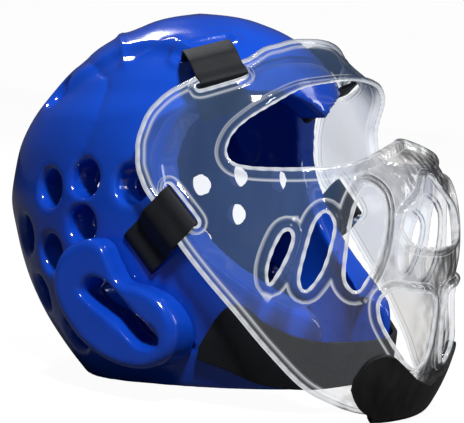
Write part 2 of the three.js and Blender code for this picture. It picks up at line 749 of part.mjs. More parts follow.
function makeChinBumper() {
  const outline = smoothRows(bumperOutline, 'around', ['top', 'low', 'wrap']);
  const shieldEdge = smoothRows(shieldOutline, 'around', ['low', 'high']);
  const columns = 16;
  const outside = [];
  const inside = [];
  const seat = shieldWall / 2 + fitGap * 2;
  for (let j = 0; j <= columns; j += 1) {
    const share = (j / columns) * 2 - 1;
    const around = share * bumperHalfSpan;
    const [top, low, rawWrap] = outline(Math.abs(share));
    const wrap = THREE.MathUtils.clamp(rawWrap, 0, 1);
    const [edge] = shieldEdge(Math.abs(around) / shieldHalfSpan);
    const foot = wrap > 0 ? edge : Math.max(edge, low);
    const line = [0, 0.5, 1].map((step) => {
      return shieldOffset(around, THREE.MathUtils.lerp(top, foot, step), seat);
    });
    const heel = line[2];
    const inward = new THREE.Vector3(-heel.x, -heel.y, 0).normalize();
    const sole = -bumperDrop + bumperWall;
    const plainUnder = shieldOffset(around, foot - 0.004, seat);
    const plainBack = shieldOffset(around, foot - 0.008, seat);
    const under = heel.clone().addScaledVector(inward, bumperInturn * 0.35).setZ(sole);
    const back = heel.clone().addScaledVector(inward, bumperInturn).setZ(sole + bumperWall);
    line.push(plainUnder.lerp(under, wrap), plainBack.lerp(back, wrap));
    const outs = line.map((point, index) => {
      const ahead = line[Math.min(index + 1, line.length - 1)];
      const behind = line[Math.max(index - 1, 0)];
      const run = ahead.clone().sub(behind).normalize();
      const sideways = new THREE.Vector3(inward.y, -inward.x, 0);
      return point.clone().addScaledVector(sideways.cross(run).normalize(), -bumperWall);
    });
    outside.push(outs);
    inside.push(line);
  }
  return bodyBetween(outside, inside);
}

function makeChinStrap() {
  const outline = smoothRows(chinStrapOutline, 'around', ['low', 'high']);
  const columns = 22;
  const rows = 2;
  const outer = [];
  const inner = [];
  for (let j = 0; j <= columns; j += 1) {
    const share = (j / columns) * 2 - 1;
    const angle = THREE.MathUtils.degToRad(share * chinStrapEndAngle);
    const [low, high] = outline(Math.abs(share));
    const heights = Array.from({ length: rows + 1 }, (_, i) => THREE.MathUtils.lerp(low, high, i / rows));
    const seat = fitGap * 2.6;
    inner.push(heights.map((up) => shellOffset(angle, up, seat)));
    outer.push(heights.map((up) => shellOffset(angle, up, seat + chinStrapThickness)));
  }
  return bodyBetween(outer, inner);
}

function surfacePoint(kind, angle, height) {
  if (kind === 'shield') {
    return shieldSurface(angle, height / shieldHeight);
  }
  return shellPoint(angle, height / shellHeight);
}

function surfaceNormal(kind, angle, height) {
  const step = 0.01;
  const tall = 1;
  const along = surfacePoint(kind, angle + step, height).sub(surfacePoint(kind, angle - step, height));
  const rise = surfacePoint(kind, angle, height + tall).sub(surfacePoint(kind, angle, height - tall));
  return along.cross(rise).normalize();
}

function seatOffset(kind, lift) {
  const middle = fitGap + lift + strapThickness / 2;
  if (kind === 'shield') {
    return middle + shieldWall / 2;
  }
  return kind === 'lining' ? -(middle + shellWall) : middle;
}

// Webbing along a route on the wearer's right: its width stays square to the route. A slit for it
// is the same body with its edges, ends and faces eased outwards
function makeStrap(route, edgeEase, faceEase) {
  const halfWidth = strapWidth / 2 + edgeEase;
  const halfThickness = strapThickness / 2 + faceEase;
  const centres = route.map(({ around, up, on, lift }) => {
    const angle = THREE.MathUtils.degToRad(-around);
    const height = up * shellHeight;
    const normal = surfaceNormal(on, angle, height);
    return surfacePoint(on, angle, height).addScaledVector(normal, seatOffset(on, lift));
  });
  const curve = new THREE.CatmullRomCurve3(centres, false, 'centripetal');
  const line = curve.getSpacedPoints(12);
  line[0].addScaledVector(line[0].clone().sub(line[1]).normalize(), edgeEase);
  line.at(-1).addScaledVector(line.at(-1).clone().sub(line.at(-2)).normalize(), edgeEase);
  const start = centres[1];
  const end = centres[4];
  const angle = THREE.MathUtils.degToRad(-route[3].around);
  const flat = surfaceNormal(route[3].on, angle, route[3].up * shellHeight);
  const across = end.clone().sub(start).cross(flat).normalize();
  const outer = [];
  const inner = [];
  line.forEach((point, index) => {
    const ahead = line[Math.min(index + 1, line.length - 1)];
    const behind = line[Math.max(index - 1, 0)];
    const run = ahead.clone().sub(behind).normalize();
    const thick = run.clone().cross(across).normalize();
    const edges = [-halfWidth, halfWidth].map((side) => point.clone().addScaledVector(across, side));
    outer.push(edges.map((edge) => edge.clone().addScaledVector(thick, halfThickness)));
    inner.push(edges.map((edge) => edge.clone().addScaledVector(thick, -halfThickness)));
  });
  return bodyBetween(outer, inner);
}

// Room that the shell and the shield leave for the webbing
function strapSlits() {
  return [sideStrapRoute, topStrapRoute].map((route) => {
    return makeStrap(route, strapSlitEase, fitGap * 1.4);
  });
}

const paint = {
  foam: { color: 0x1c3fae, roughness: 0.22, metalness: 0 },
  clear: { color: 0xdfe6ea, roughness: 0.05, metalness: 0, transparent: true, opacity: 0.35 },
  rubber: { color: 0x17181a, roughness: 0.5, metalness: 0 },
  webbing: { color: 0x20262c, roughness: 0.85, metalness: 0 },
};

const pieces = new THREE.Group();
const headgear = new THREE.Group();
headgear.add(pieces);

function addPiece(name, solid, finish) {
  const mesh = new THREE.Mesh(geometryOf(solid), new THREE.MeshStandardMaterial(paint[finish]));
  mesh.name = name;
  pieces.add(mesh);
}

// Tilt that brings the chin bumper and the flattened back of the neck rim onto one level surface
function restTilt(solids) {
  const rimBack = shellRadius(Math.PI, 0);
  let steepest = 0;
  for (const solid of solids) {
    const points = geometryOf(solid).attributes.position;
    for (let i = 0; i < points.count; i += 1) {
      const ahead = rimBack - points.getY(i);
      steepest = Math.max(steepest, Math.atan2(rimFlattening - points.getZ(i), ahead));
    }
  }
  return steepest;
}

const faceShield = makeFaceShield();
const chinBumper = makeChinBumper();
const tilt = restTilt([faceShield, chinBumper]);
const restNormal = new THREE.Vector3(0, -Math.sin(tilt), Math.cos(tilt));
const restPoint = new THREE.Vector3(0, shellRadius(Math.PI, 0), rimFlattening);
const helmetShell = makeHelmetShell().trimByPlane(restNormal.toArray(), restNormal.dot(restPoint));
const earPad = makeEarPad(shellLoft(fitGap * 2, outerFacets, 0));
const sideStrap = makeStrap(sideStrapRoute, 0, 0);
const topStrap = makeStrap(topStrapRoute, 0, 0);
addPiece('helmet_shell', helmetShell, 'foam');
addPiece('ear_pad_right', earPad, 'foam');
addPiece('ear_pad_left', mirrored(earPad), 'foam');
addPiece('face_shield', faceShield, 'clear');
addPiece('chin_bumper', chinBumper, 'rubber');
addPiece('chin_strap', makeChinStrap(), 'webbing');
addPiece('strap_side_right', sideStrap, 'webbing');
addPiece('strap_side_left', mirrored(sideStrap), 'webbing');
addPiece('strap_top_right', topStrap, 'webbing');
addPiece('strap_top_left', mirrored(topStrap), 'webbing');

// The origin is at the middle of the footprint, on the surface that the headgear rests on
pieces.rotation.x = -tilt;
headgear.updateMatrixWorld(true);
const extent = new THREE.Box3().setFromObject(headgear, true);
const middle = extent.getCenter(new THREE.Vector3());
pieces.position.set(-middle.x, -middle.y, -extent.min.z);

export default headgear;
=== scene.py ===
# Boxing head guard with a clear face shield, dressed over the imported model
# The head frame has its origin at the middle of the neck rim, in millimetres. The rest values
# carry it to the level surface that the guard stands on, in metres.
import math

import bmesh
import bpy
import numpy as np
from mathutils import Matrix, Vector, geometry, kdtree


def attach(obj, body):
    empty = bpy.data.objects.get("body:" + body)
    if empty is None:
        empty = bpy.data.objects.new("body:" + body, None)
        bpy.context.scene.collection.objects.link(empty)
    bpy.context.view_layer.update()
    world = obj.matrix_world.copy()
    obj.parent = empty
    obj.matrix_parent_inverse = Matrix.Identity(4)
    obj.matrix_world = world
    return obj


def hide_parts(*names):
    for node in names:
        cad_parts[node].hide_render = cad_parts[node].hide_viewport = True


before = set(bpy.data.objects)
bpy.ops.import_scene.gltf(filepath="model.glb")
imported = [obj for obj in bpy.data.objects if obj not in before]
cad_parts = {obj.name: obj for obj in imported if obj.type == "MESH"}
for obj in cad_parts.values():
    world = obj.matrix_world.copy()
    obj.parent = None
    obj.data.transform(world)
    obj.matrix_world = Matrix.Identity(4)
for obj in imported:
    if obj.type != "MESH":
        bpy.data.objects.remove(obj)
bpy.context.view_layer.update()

restValues = {"tiltSine": 0.09849, "shiftY": 11.611, "shiftZ": 5.202}
headMatrix = (Matrix.Translation((0, restValues["shiftY"] / 1000, restValues["shiftZ"] / 1000))
              @ Matrix.Rotation(-math.asin(restValues["tiltSine"]), 4, "X")
              @ Matrix.Scale(0.001, 4))


# Smooth curves through rows of values, with the first value of a row as its place
def smoothRows(rows):
    table = np.array(rows, float)
    at, values = table[:, 0], table[:, 1:]
    step = np.diff(at)
    secant = np.diff(values, axis=0) / step[:, None]
    slope = np.vstack([secant[:1], (secant[:-1] + secant[1:]) / 2, secant[-1:]])

    def look(where):
        where = np.clip(np.asarray(where, float), at[0], at[-1])
        index = np.clip(np.searchsorted(at, where, side="right") - 1, 0, len(step) - 1)
        share = ((where - at[index]) / step[index])[..., None]
        wide = step[index][..., None]
        square, cube = share ** 2, share ** 3
        return ((2 * cube - 3 * square + 1) * values[index]
                + (cube - 2 * square + share) * slope[index] * wide
                + (3 * square - 2 * cube) * values[index + 1]
                + (cube - square) * slope[index + 1] * wide)
    return look


def smoothStep(low, high, value):
    share = np.clip((value - low) / (high - low), 0, 1)
    return share * share * (3 - 2 * share)


# Evenly spaced points along a chain of straight pieces
def spaced(points, count):
    run = np.concatenate([[0], np.cumsum(np.linalg.norm(np.diff(points, axis=0), axis=1))])
    at = np.linspace(0, run[-1], count + 1)
    return np.stack([np.interp(at, run, points[:, k]) for k in range(points.shape[1])], axis=1)


curveSteps = 24  # places that a rounded curve is worked out at, from one given point to the next


# Evenly spaced points on a rounded curve through the given ones
def roundCurve(points, count, closed=False):
    points = np.asarray(points, float)
    if closed:
        around = np.vstack([points[-1], points, points[:2]])
    else:
        around = np.vstack([2 * points[0] - points[1], points, 2 * points[-1] - points[-2]])
    share = np.linspace(0, 1, curveSteps, endpoint=False)[:, None]
    square, cube = share ** 2, share ** 3
    dense = []
    for a, b, c, d in zip(around, around[1:], around[2:], around[3:]):
        ab, bc, cd = [max(np.linalg.norm(q - p) ** 0.5, 1e-3) for p, q in ((a, b), (b, c), (c, d))]
        leave = ((b - a) / ab - (c - a) / (ab + bc) + (c - b) / bc) * bc
        arrive = ((c - b) / bc - (d - b) / (bc + cd) + (d - c) / cd) * bc
        dense.append((2 * cube - 3 * square + 1) * b + (cube - 2 * square + share) * leave
                     + (3 * square - 2 * cube) * c + (cube - square) * arrive)
    out = spaced(np.vstack(dense + [around[-2][None]]), count)
    return out[:-1] if closed else out


def unit(vectors):
    return vectors / np.maximum(np.linalg.norm(vectors, axis=-1, keepdims=True), 1e-9)


def eggRadius(angle, half, reach, power):
    side = np.abs(np.sin(angle)) / half
    fore = np.abs(np.cos(angle)) / reach
    return (side ** power + fore ** power) ** (-1 / power)


def polarPoint(angle, radius, height):
    return np.stack([radius * np.sin(angle), -radius * np.cos(angle), height], axis=-1)


# Foam shell: its surface by angle round the head from the face and by share of its height.
# Sizes are in millimetres and angles in degrees, here and for every other piece.
shellSize = {
    "halfWidth": 98.0, "frontReach": 134.0, "backReach": 139.0, "height": 236.0,
    "squareness": 2.15, "wall": 21.0,
    "panelRaise": 4.4, "panelHalf": 0.56, "panelEdge": 3.4, "panelRise": (0.70, 0.80),
    "panelPower": 4, "leastRadius": 0.02,
    "valleyAngle": 98.0, "valleyLean": 10.0, "valleyDepth": 4.6, "valleyWidth": 6.5,
    "valleyPivot": 0.75, "valleyRise": (0.58, 0.68), "valleyFall": (0.88, 0.94), "domeFrom": 0.5,
    "browDrop": 15.0, "browHalf": 38.0, "browPower": 1.7, "browFade": 6,
    "chinGapHalf": 40.0, "chinGapDepth": 50.0,
    "ventRadius": 11.6, "ventLip": 15.4, "ventLipDepth": 4.2, "ventInner": 6.2,
    "voxel": 1.8, "soften": 8, "fill": 0.9, "ringPower": 1.1,
    "slotLip": 1.8, "slotLipAway": 8.5, "slotLipReach": 2.6, "slotDip": 1.6, "slotDipReach": 4.5,
    "dimpleAngle": 58.2, "dimpleUp": 0.109, "dimpleDepth": 1.6, "dimpleReach": 2.6,
}
# Shares of the height near its top, and how far the last ring closes in
crownLimits = {"ring": 0.998, "point": 0.9985, "slope": 0.999, "close": 0.02}
slopeStep = 0.004  # turn and rise from a point to the places that its normal is taken from
shellRows = [  # up, half width, front, back
    (0.000, 0.827, 0.978, 0.489), (0.060, 0.883, 0.989, 0.604), (0.145, 0.939, 1.000, 0.741),
    (0.229, 0.974, 0.985, 0.842), (0.305, 0.993, 0.918, 0.906), (0.390, 1.000, 0.869, 0.957),
    (0.475, 1.000, 0.813, 0.993), (0.551, 0.990, 0.784, 0.971), (0.636, 0.964, 0.757, 0.928),
    (0.712, 0.908, 0.731, 0.849), (0.771, 0.847, 0.705, 0.755), (0.822, 0.776, 0.672, 0.669),
    (0.873, 0.663, 0.597, 0.576), (0.915, 0.536, 0.507, 0.475), (0.958, 0.357, 0.358, 0.309),
    (0.987, 0.180, 0.182, 0.160), (1.000, 0.000, 0.000, 0.000),
]
faceRows = [  # fore, up
    (0.463, 0.765), (0.373, 0.742), (0.306, 0.703), (0.269, 0.648), (0.254, 0.589),
    (0.269, 0.538), (0.306, 0.487), (0.366, 0.428), (0.455, 0.360), (0.545, 0.314),
    (0.650, 0.267), (0.769, 0.222), (0.850, 0.199), (0.890, 0.165), (0.896, 0.100),
    (0.890, 0.000),
]
ventRows = [  # angle round the head, up
    (81, 0.530), (103, 0.542), (121, 0.513), (104, 0.419), (138, 0.381), (121, 0.335),
    (134, 0.218), (114, 0.123), (141, 0.782), (160, 0.500),
]
foldRows = [  # height, reach, then angle and up along the fold
    (2.0, 3.2, [(50.0, 0.872), (55.0, 0.883), (66.5, 0.897), (71.7, 0.913), (80.9, 0.905),
                (91.5, 0.890), (98.6, 0.870), (100.9, 0.861)]),
    (2.0, 2.8, [(100.9, 0.861), (106.6, 0.881), (111.2, 0.901), (124.0, 0.921), (150.0, 0.94)]),
    (-1.9, 4.6, [(150.0, 0.868), (133.3, 0.864), (122.5, 0.851), (115.5, 0.838), (109.5, 0.830),
                 (104.9, 0.795), (102.5, 0.741), (101.2, 0.706), (101.5, 0.674),
                 (104.2, 0.621), (106.5, 0.594)]),
]
shellSection = smoothRows(shellRows)


def shellRelief(angle, up):
    size = shellSize
    across = np.abs(np.sin(angle)) * np.sqrt(np.maximum(0, 1 - up ** size["panelPower"]))
    edge = size["panelEdge"] / size["halfWidth"]
    onPanel = 1 - smoothStep(size["panelHalf"], size["panelHalf"] + edge, across)
    highUp = smoothStep(*size["panelRise"], up)
    turn = np.degrees(np.abs(angle))
    valleyAt = size["valleyAngle"] + size["valleyLean"] * (size["valleyPivot"] - up)
    spread = math.degrees(size["valleyWidth"] / size["halfWidth"])
    inValley = np.exp(-((turn - valleyAt) / spread) ** 2)
    span = smoothStep(*size["valleyRise"], up) * (1 - smoothStep(*size["valleyFall"], up))
    return -size["panelRaise"] * (1 - onPanel) * highUp - size["valleyDepth"] * inValley * span


def shellPoint(angle, up):
    size = shellSize
    angle, up = np.broadcast_arrays(np.asarray(angle, float), np.asarray(up, float))
    part = shellSection(up)
    reach = np.where(np.cos(angle) > 0, part[..., 1] * size["frontReach"],
                     part[..., 2] * size["backReach"])
    half = np.maximum(part[..., 0] * size["halfWidth"], size["leastRadius"])
    reach = np.maximum(reach, size["leastRadius"])
    radius = eggRadius(angle, half, reach, size["squareness"])
    base = polarPoint(angle, radius, up * size["height"])
    rise = np.maximum(0, up - size["domeFrom"]) * size["height"]
    lean = unit(np.stack([base[..., 0], base[..., 1], rise], axis=-1))
    return base + lean * shellRelief(angle, up)[..., None]


def shellNormal(angle, up):
    high = np.minimum(up + slopeStep, crownLimits["slope"])
    low = np.maximum(high - 2 * slopeStep, 0)
    along = shellPoint(angle + slopeStep, up) - shellPoint(angle - slopeStep, up)
    rise = shellPoint(angle, high) - shellPoint(angle, low)
    return unit(np.cross(along, rise))


def shellOffset(angle, up, offset):
    angle, up = np.broadcast_arrays(np.asarray(angle, float), np.asarray(up, float))
    out = shellPoint(angle, up) + shellNormal(angle, up) * offset
    top = np.stack([0 * up, 0 * up, up * shellSize["height"] + offset], axis=-1)
    return np.where((up > crownLimits["point"])[..., None], top, out)


# Shield surface: distance round it from its middle and share of its height
shieldSize = {
    "halfWidth": 105.0, "reach": 177.0, "top": 217.0, "squareness": 2.05, "wall": 2.6,
    "cornerRaise": 3.0, "cornerAngle": 14.0, "cornerSpread": 7.0,
    "muzzleRise": (-0.05, 0.15), "muzzleFall": (0.60, 0.70), "halfSpan": 200.0,
    "rimWidth": 4.8, "rimRaise": 2.0, "rimRound": 1.3, "lipAt": 1.6, "lipDrop": 0.3,
    "pointGap": 1.3, "fillGap": 4.2, "edgeGap": 0.7, "leastGap": 0.5, "sharpAngle": 66.0,
    "collars": {"eye": (3.2, 6.5), "cheek": (4.4, 7.5), "low": (2.8, 4.8), "strap": (1.8, 4.0)},
    # widths of the painted highlight lines at the crest and the foot of the rim and collars
    "paintedLines": {"rim": 0.7, "rimFoot": 0.5, "lip": 0.55, "lipFoot": 0.4, "footShare": 0.6},
    "ringsAt": (0.8, 1.6, 2.4, 3.2, 4.0, 4.8, 5.6, 6.5, 7.5, 8.5, 10.0),
}
shieldRows = [  # up, half width, reach
    (-0.100, 0.876, 0.830), (-0.045, 0.924, 0.893), (0.023, 0.952, 0.938), (0.092, 0.971, 0.966),
    (0.184, 0.981, 0.983), (0.286, 0.990, 0.994), (0.392, 1.000, 0.994), (0.521, 1.000, 0.972),
    (0.599, 1.000, 0.938), (0.641, 1.000, 0.904), (0.682, 1.000, 0.847), (0.714, 0.995, 0.797),
    (0.760, 0.981, 0.746), (0.820, 0.943, 0.712), (0.876, 0.895, 0.644), (0.912, 0.838, 0.588),
    (0.954, 0.762, 0.537), (1.000, 0.686, 0.486),
]
shieldEdgeRows = [  # around, low, high
    (0.000, -0.062, 0.988), (0.155, -0.058, 0.985), (0.241, -0.050, 0.981), (0.362, -0.017, 0.968),
    (0.460, 0.027, 0.956), (0.576, 0.126, 0.923), (0.679, 0.232, 0.908), (0.781, 0.334, 0.879),
    (0.852, 0.412, 0.852), (0.900, 0.475, 0.832), (0.940, 0.529, 0.803), (0.972, 0.565, 0.768),
    (1.000, 0.625, 0.700),
]
eyeRows = [  # lower edge, then upper edge, from the wearer's right to the middle
    [(-0.701, 0.656), (-0.686, 0.637), (-0.642, 0.625), (-0.528, 0.619), (-0.433, 0.620),
     (-0.315, 0.628), (-0.181, 0.657), (-0.070, 0.680), (0.000, 0.690)],
    [(-0.703, 0.665), (-0.699, 0.682), (-0.673, 0.719), (-0.608, 0.760), (-0.477, 0.811),
     (-0.372, 0.837), (-0.200, 0.853), (-0.080, 0.860), (0.000, 0.862)],
]
cheekRows = [  # around, up, along the rear and then the front edge of each slot
    [[(-0.577, 0.308), (-0.580, 0.352), (-0.556, 0.420), (-0.530, 0.457), (-0.518, 0.460)],
     [(-0.570, 0.306), (-0.540, 0.352), (-0.513, 0.407), (-0.504, 0.440), (-0.510, 0.458)]],
    [[(-0.478, 0.292), (-0.488, 0.320), (-0.469, 0.407), (-0.440, 0.482), (-0.414, 0.508)],
     [(-0.462, 0.291), (-0.425, 0.339), (-0.399, 0.407), (-0.384, 0.478), (-0.402, 0.508)]],
    [[(-0.330, 0.288), (-0.356, 0.318), (-0.352, 0.407), (-0.324, 0.514), (-0.282, 0.575)],
     [(-0.310, 0.292), (-0.270, 0.365), (-0.239, 0.459), (-0.234, 0.546), (-0.262, 0.574)]],
]
noseRows = [  # around, up, along the lower and then the upper edge
    [(-0.150, 0.416), (-0.096, 0.404), (0.000, 0.398), (0.096, 0.404), (0.150, 0.416)],
    [(-0.181, 0.456), (-0.162, 0.496), (-0.070, 0.549), (-0.030, 0.585), (0.000, 0.597),
     (0.030, 0.585), (0.070, 0.549), (0.162, 0.496), (0.181, 0.456)],
]
mouthRows = [  # around, up, along the outer and then the inner edge
    [(-0.208, 0.298), (-0.250, 0.272), (-0.250, 0.220), (-0.192, 0.135), (-0.136, 0.087),
     (-0.095, 0.068)],
    [(-0.135, 0.287), (-0.050, 0.274), (-0.030, 0.246), (-0.030, 0.164), (-0.048, 0.095),
     (-0.075, 0.070)],
]
shieldSection = smoothRows(shieldRows)
shieldEdge = smoothRows(shieldEdgeRows)


def shieldSurface(angle, up):
    size = shieldSize
    part = shieldSection(up)
    plain = eggRadius(angle, part[..., 0] * size["halfWidth"], part[..., 1] * size["reach"],
                      size["squareness"])
    turn = np.degrees(np.abs(angle))
    corner = np.exp(-((turn - size["cornerAngle"]) / size["cornerSpread"]) ** 2)
    onMuzzle = smoothStep(*size["muzzleRise"], up) * (1 - smoothStep(*size["muzzleFall"], up))
    return polarPoint(angle, plain + size["cornerRaise"] * corner * onMuzzle, up * size["top"])


girthTable = {"points": 401, "up": 0.4}  # way round the shield, to a quarter turn
tableAngles = np.linspace(0, math.pi / 2, girthTable["points"])
tablePoints = shieldSurface(tableAngles, np.full(girthTable["points"], girthTable["up"]))
tableRun = np.concatenate([[0], np.cumsum(np.linalg.norm(np.diff(tablePoints, axis=0), axis=1))])


def angleAt(around):
    return np.sign(around) * np.interp(np.abs(around), tableRun, tableAngles)


def shieldNormal(angle, up):
    along = shieldSurface(angle + slopeStep, up) - shieldSurface(angle - slopeStep, up)
    rise = shieldSurface(angle, up + slopeStep) - shieldSurface(angle, up - slopeStep)
    return unit(np.cross(along, rise))


def shieldOffset(around, up, offset):
    angle, up, offset = np.broadcast_arrays(angleAt(np.asarray(around, float)),
                                            np.asarray(up, float), np.asarray(offset, float))
    return shieldSurface(angle, up) + shieldNormal(angle, up) * offset[..., None]


def chartOf(points):
    angle = np.arctan2(points[:, 0], -points[:, 1])
    around = np.sign(angle) * np.interp(np.abs(angle), tableAngles, tableRun)
    return np.stack([around, points[:, 2]], axis=1)


# Making and finishing meshes, all in head millimetres until settle
meshFinish = {"merge": 1e-4, "smoothing": 0.5, "bevelSegments": 3, "bevelAngle": 50.0}


def intoScene(thing):
    bpy.context.scene.collection.objects.link(thing)
    return thing


def newObject(name, bm):
    mesh = bpy.data.meshes.new(name)
    bm.to_mesh(mesh)
    bm.free()
    return intoScene(bpy.data.objects.new(name, mesh))


# Grid of faces moved into place; weave is the width and length of its cloth
def gridSheet(columns, rows, place, weave=None):
    bm = bmesh.new()
    bmesh.ops.create_grid(bm, x_segments=columns, y_segments=rows, size=0.5)
    bm.verts.index_update()
    at = np.array([vert.co[:2] for vert in bm.verts]) + 0.5
    for vert, point in zip(bm.verts, place(at[:, 0], at[:, 1])):
        vert.co = point
    if weave:
        layer = bm.loops.layers.uv.new("weave")
        for face in bm.faces:
            for loop in face.loops:
                loop[layer].uv = at[loop.vert.index] * weave
    return bm


# Closed body of stacked rings of points
def ringBody(rings):
    rings = np.array(rings)
    count = rings.shape[1]

    def place(around, along):
        column = np.rint(around * count).astype(int) % count
        row = np.rint(along * (len(rings) - 1)).astype(int)
        return rings[row, column]
    bm = gridSheet(count, len(rings) - 1, place)
    bmesh.ops.remove_doubles(bm, verts=bm.verts, dist=meshFinish["merge"])
    bmesh.ops.holes_fill(bm, edges=bm.edges, sides=0)
    bmesh.ops.recalc_face_normals(bm, faces=bm.faces)
    return bm


def bakeModifiers(piece):
    graph = bpy.context.evaluated_depsgraph_get()
    mesh = bpy.data.meshes.new_from_object(piece.evaluated_get(graph))
    piece.modifiers.clear()
    old = piece.data
    piece.data = mesh
    bpy.data.meshes.remove(old)


def cutAway(piece, cutters):
    for cutter in cutters:
        cut = piece.modifiers.new("cut", "BOOLEAN")
        cut.operation = "DIFFERENCE"
        cut.solver = "MANIFOLD"
        cut.object = cutter
    bakeModifiers(piece)
    for cutter in cutters:
        bpy.data.objects.remove(cutter)


def soften(piece, voxel, rounds):
    remesh = piece.modifiers.new("remesh", "REMESH")
    remesh.mode = "VOXEL"
    remesh.voxel_size = voxel
    smooth = piece.modifiers.new("smooth", "SMOOTH")
    smooth.factor = meshFinish["smoothing"]
    smooth.iterations = rounds
    bakeModifiers(piece)


def thicken(piece, thickness, offset=0.0, edge=0.0):
    wall = piece.modifiers.new("wall", "SOLIDIFY")
    wall.thickness = thickness
    wall.offset = offset
    wall.use_even_offset = edge > 0
    if edge:
        bevel = piece.modifiers.new("edge", "BEVEL")
        bevel.width = edge
        bevel.segments = meshFinish["bevelSegments"]
        bevel.limit_method = "ANGLE"
        bevel.angle_limit = math.radians(meshFinish["bevelAngle"])
    bakeModifiers(piece)


def mirroredCopy(piece, name):
    copy = intoScene(piece.copy())
    copy.data = piece.data.copy()
    copy.name = name
    copy.data.transform(Matrix.Scale(-1, 4, (1, 0, 0)))
    copy.data.flip_normals()
    return copy


def settle(piece, material, slotName, *nodeNames, sharp=55.0):
    piece.data.transform(headMatrix)
    piece.data.materials.clear()
    piece.data.materials.append(material)
    piece.data.polygons.foreach_set("use_smooth", [True] * len(piece.data.polygons))
    piece.data.set_sharp_from_angle(angle=math.radians(sharp))
    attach(piece, "root")
    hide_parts(*nodeNames)
    print("made", piece.name, len(piece.data.polygons), "faces")
    return piece


# A piece of the wearer's right side and its mirror image on the left
def settlePair(piece, material, slotName, nodeName):
    left = mirroredCopy(piece, piece.name.replace("Right", "Left"))
    for made, side in ((piece, "right"), (left, "left")):
        settle(made, material, slotName, nodeName + "_" + side)
    return piece, left


def faceForward(bm):
    bmesh.ops.recalc_face_normals(bm, faces=bm.faces)
    front = min(bm.faces, key=lambda face: face.calc_center_median().y)
    if front.normal.y > 0:
        bmesh.ops.reverse_faces(bm, faces=bm.faces)


def newMaterial(name):
    material = bpy.data.materials.new(name)
    material.use_nodes = True
    material.node_tree.nodes.clear()
    return material, material.node_tree


# A node and its inputs, each of them a value or the output that feeds it
def addNode(tree, kind, inputs=None, **settings):
    node = tree.nodes.new("ShaderNode" + kind)
    for key, value in settings.items():
        setattr(node, key, value)
    for key, value in (inputs or {}).items():
        if isinstance(value, bpy.types.NodeSocket):
            tree.links.new(value, node.inputs[key])
        else:
            node.inputs[key].default_value = value
    return node


def addNoise(tree, where, scale, detail):
    noise = addNode(tree, "TexNoise", {"Vector": where, "Scale": scale, "Detail": detail})
    return noise.outputs["Fac"]


def addMath(tree, operation, *inputs):
    node = addNode(tree, "Math", dict(enumerate(inputs)), operation=operation)
    return node.outputs["Value"]


def addRange(tree, value, source=(0, 1), target=(0, 1)):
    ends = dict(zip(("From Min", "From Max", "To Min", "To Max"), source + target))
    return addNode(tree, "MapRange", {"Value": value, **ends}).outputs["Result"]


def addBump(tree, height, strength, depth, **inputs):
    node = addNode(tree, "Bump",
                   {"Height": height, "Strength": strength, "Distance": depth, **inputs})
    return node.outputs["Normal"]


def addRamp(tree, source, stops):
    node = addNode(tree, "ValToRGB", {"Fac": source})
    parts = node.color_ramp.elements
    parts[0].position, parts[0].color = stops[0]
    parts[1].position, parts[1].color = stops[-1]
    for position, color in stops[1:-1]:
        parts.new(position).color = color
    return node.outputs["Color"]


def showShader(tree, shader):
    addNode(tree, "OutputMaterial", {"Surface": shader})


# Glossy vinyl skin of the foam
foamLook = {
    "colors": [(0.3, (0.004, 0.052, 0.48, 1)), (0.7, (0.007, 0.082, 0.64, 1))],
    "rough": (0.10, 0.18), "coat": 0.5, "coatRough": 0.04, "ior": 1.45,
    "cloudNoise": (9.0, 3.0), "swellNoise": (34.0, 1.0), "grainNoise": (420.0, 2.0),
    "swell": 0.12, "swellDepth": 0.004, "grain": 0.04, "grainDepth": 0.0005,
}


def makeFoamVinyl():
    look = foamLook
    material, tree = newMaterial("foamVinyl")
    where = addNode(tree, "TexCoord").outputs["Object"]
    cloud = addNoise(tree, where, *look["cloudNoise"])
    swell = addNoise(tree, where, *look["swellNoise"])
    grain = addNoise(tree, where, *look["grainNoise"])
    fine = addBump(tree, grain, look["grain"], look["grainDepth"])
    skin = addNode(tree, "BsdfPrincipled", {
        "Base Color": addRamp(tree, cloud, look["colors"]),
        "Roughness": addRange(tree, cloud, target=look["rough"]),
        "Normal": addBump(tree, swell, look["swell"], look["swellDepth"], Normal=fine),
        "Coat Weight": look["coat"], "Coat Roughness": look["coatRough"], "IOR": look["ior"]})
    showShader(tree, skin.outputs["BSDF"])
    return material


foamVinyl = makeFoamVinyl()

# Webbing of the four straps, and the routes that they take
strapSize = {"width": 30.0, "thickness": 2.0, "slitEase": 1.5, "fit": 0.35, "slotHalf": 3.2,
             "slotRound": 5, "edge": 0.6, "columns": 12, "rows": 72,
             "flatStretch": (1, 3, 4)}  # places on a route where the strap lies flat
sideRoute = [  # angle, up, surface, lift
    (79.0, 0.338, "shell", -6.0), (76.0, 0.355, "shell", 0.6), (71.0, 0.388, "shell", 2.2),
    (67.0, 0.420, "shield", 0.3), (63.5, 0.448, "shield", 0.2), (61.8, 0.464, "shield", 0.1),
    (60.2, 0.479, "shield", -2.6), (61.8, 0.464, "shield", -5.3), (64.5, 0.442, "shield", -5.6),
    (69.0, 0.410, "shield", -5.4),
]
topRoute = [  # angle, up, surface, lift
    (53.4, 0.892, "shell", -7.0), (52.4, 0.876, "shell", 0.6), (51.6, 0.864, "shell", 6.6),
    (50.0, 0.842, "shield", 3.0), (48.4, 0.816, "shield", 0.2), (46.9, 0.794, "shield", 0.1),
    (46.2, 0.778, "shell", 8.0), (46.0, 0.757, "shell", 2.0), (46.0, 0.752, "shell", -8.0),
    (46.4, 0.756, "shell", -18.0), (47.2, 0.775, "lining", 1.4),
]


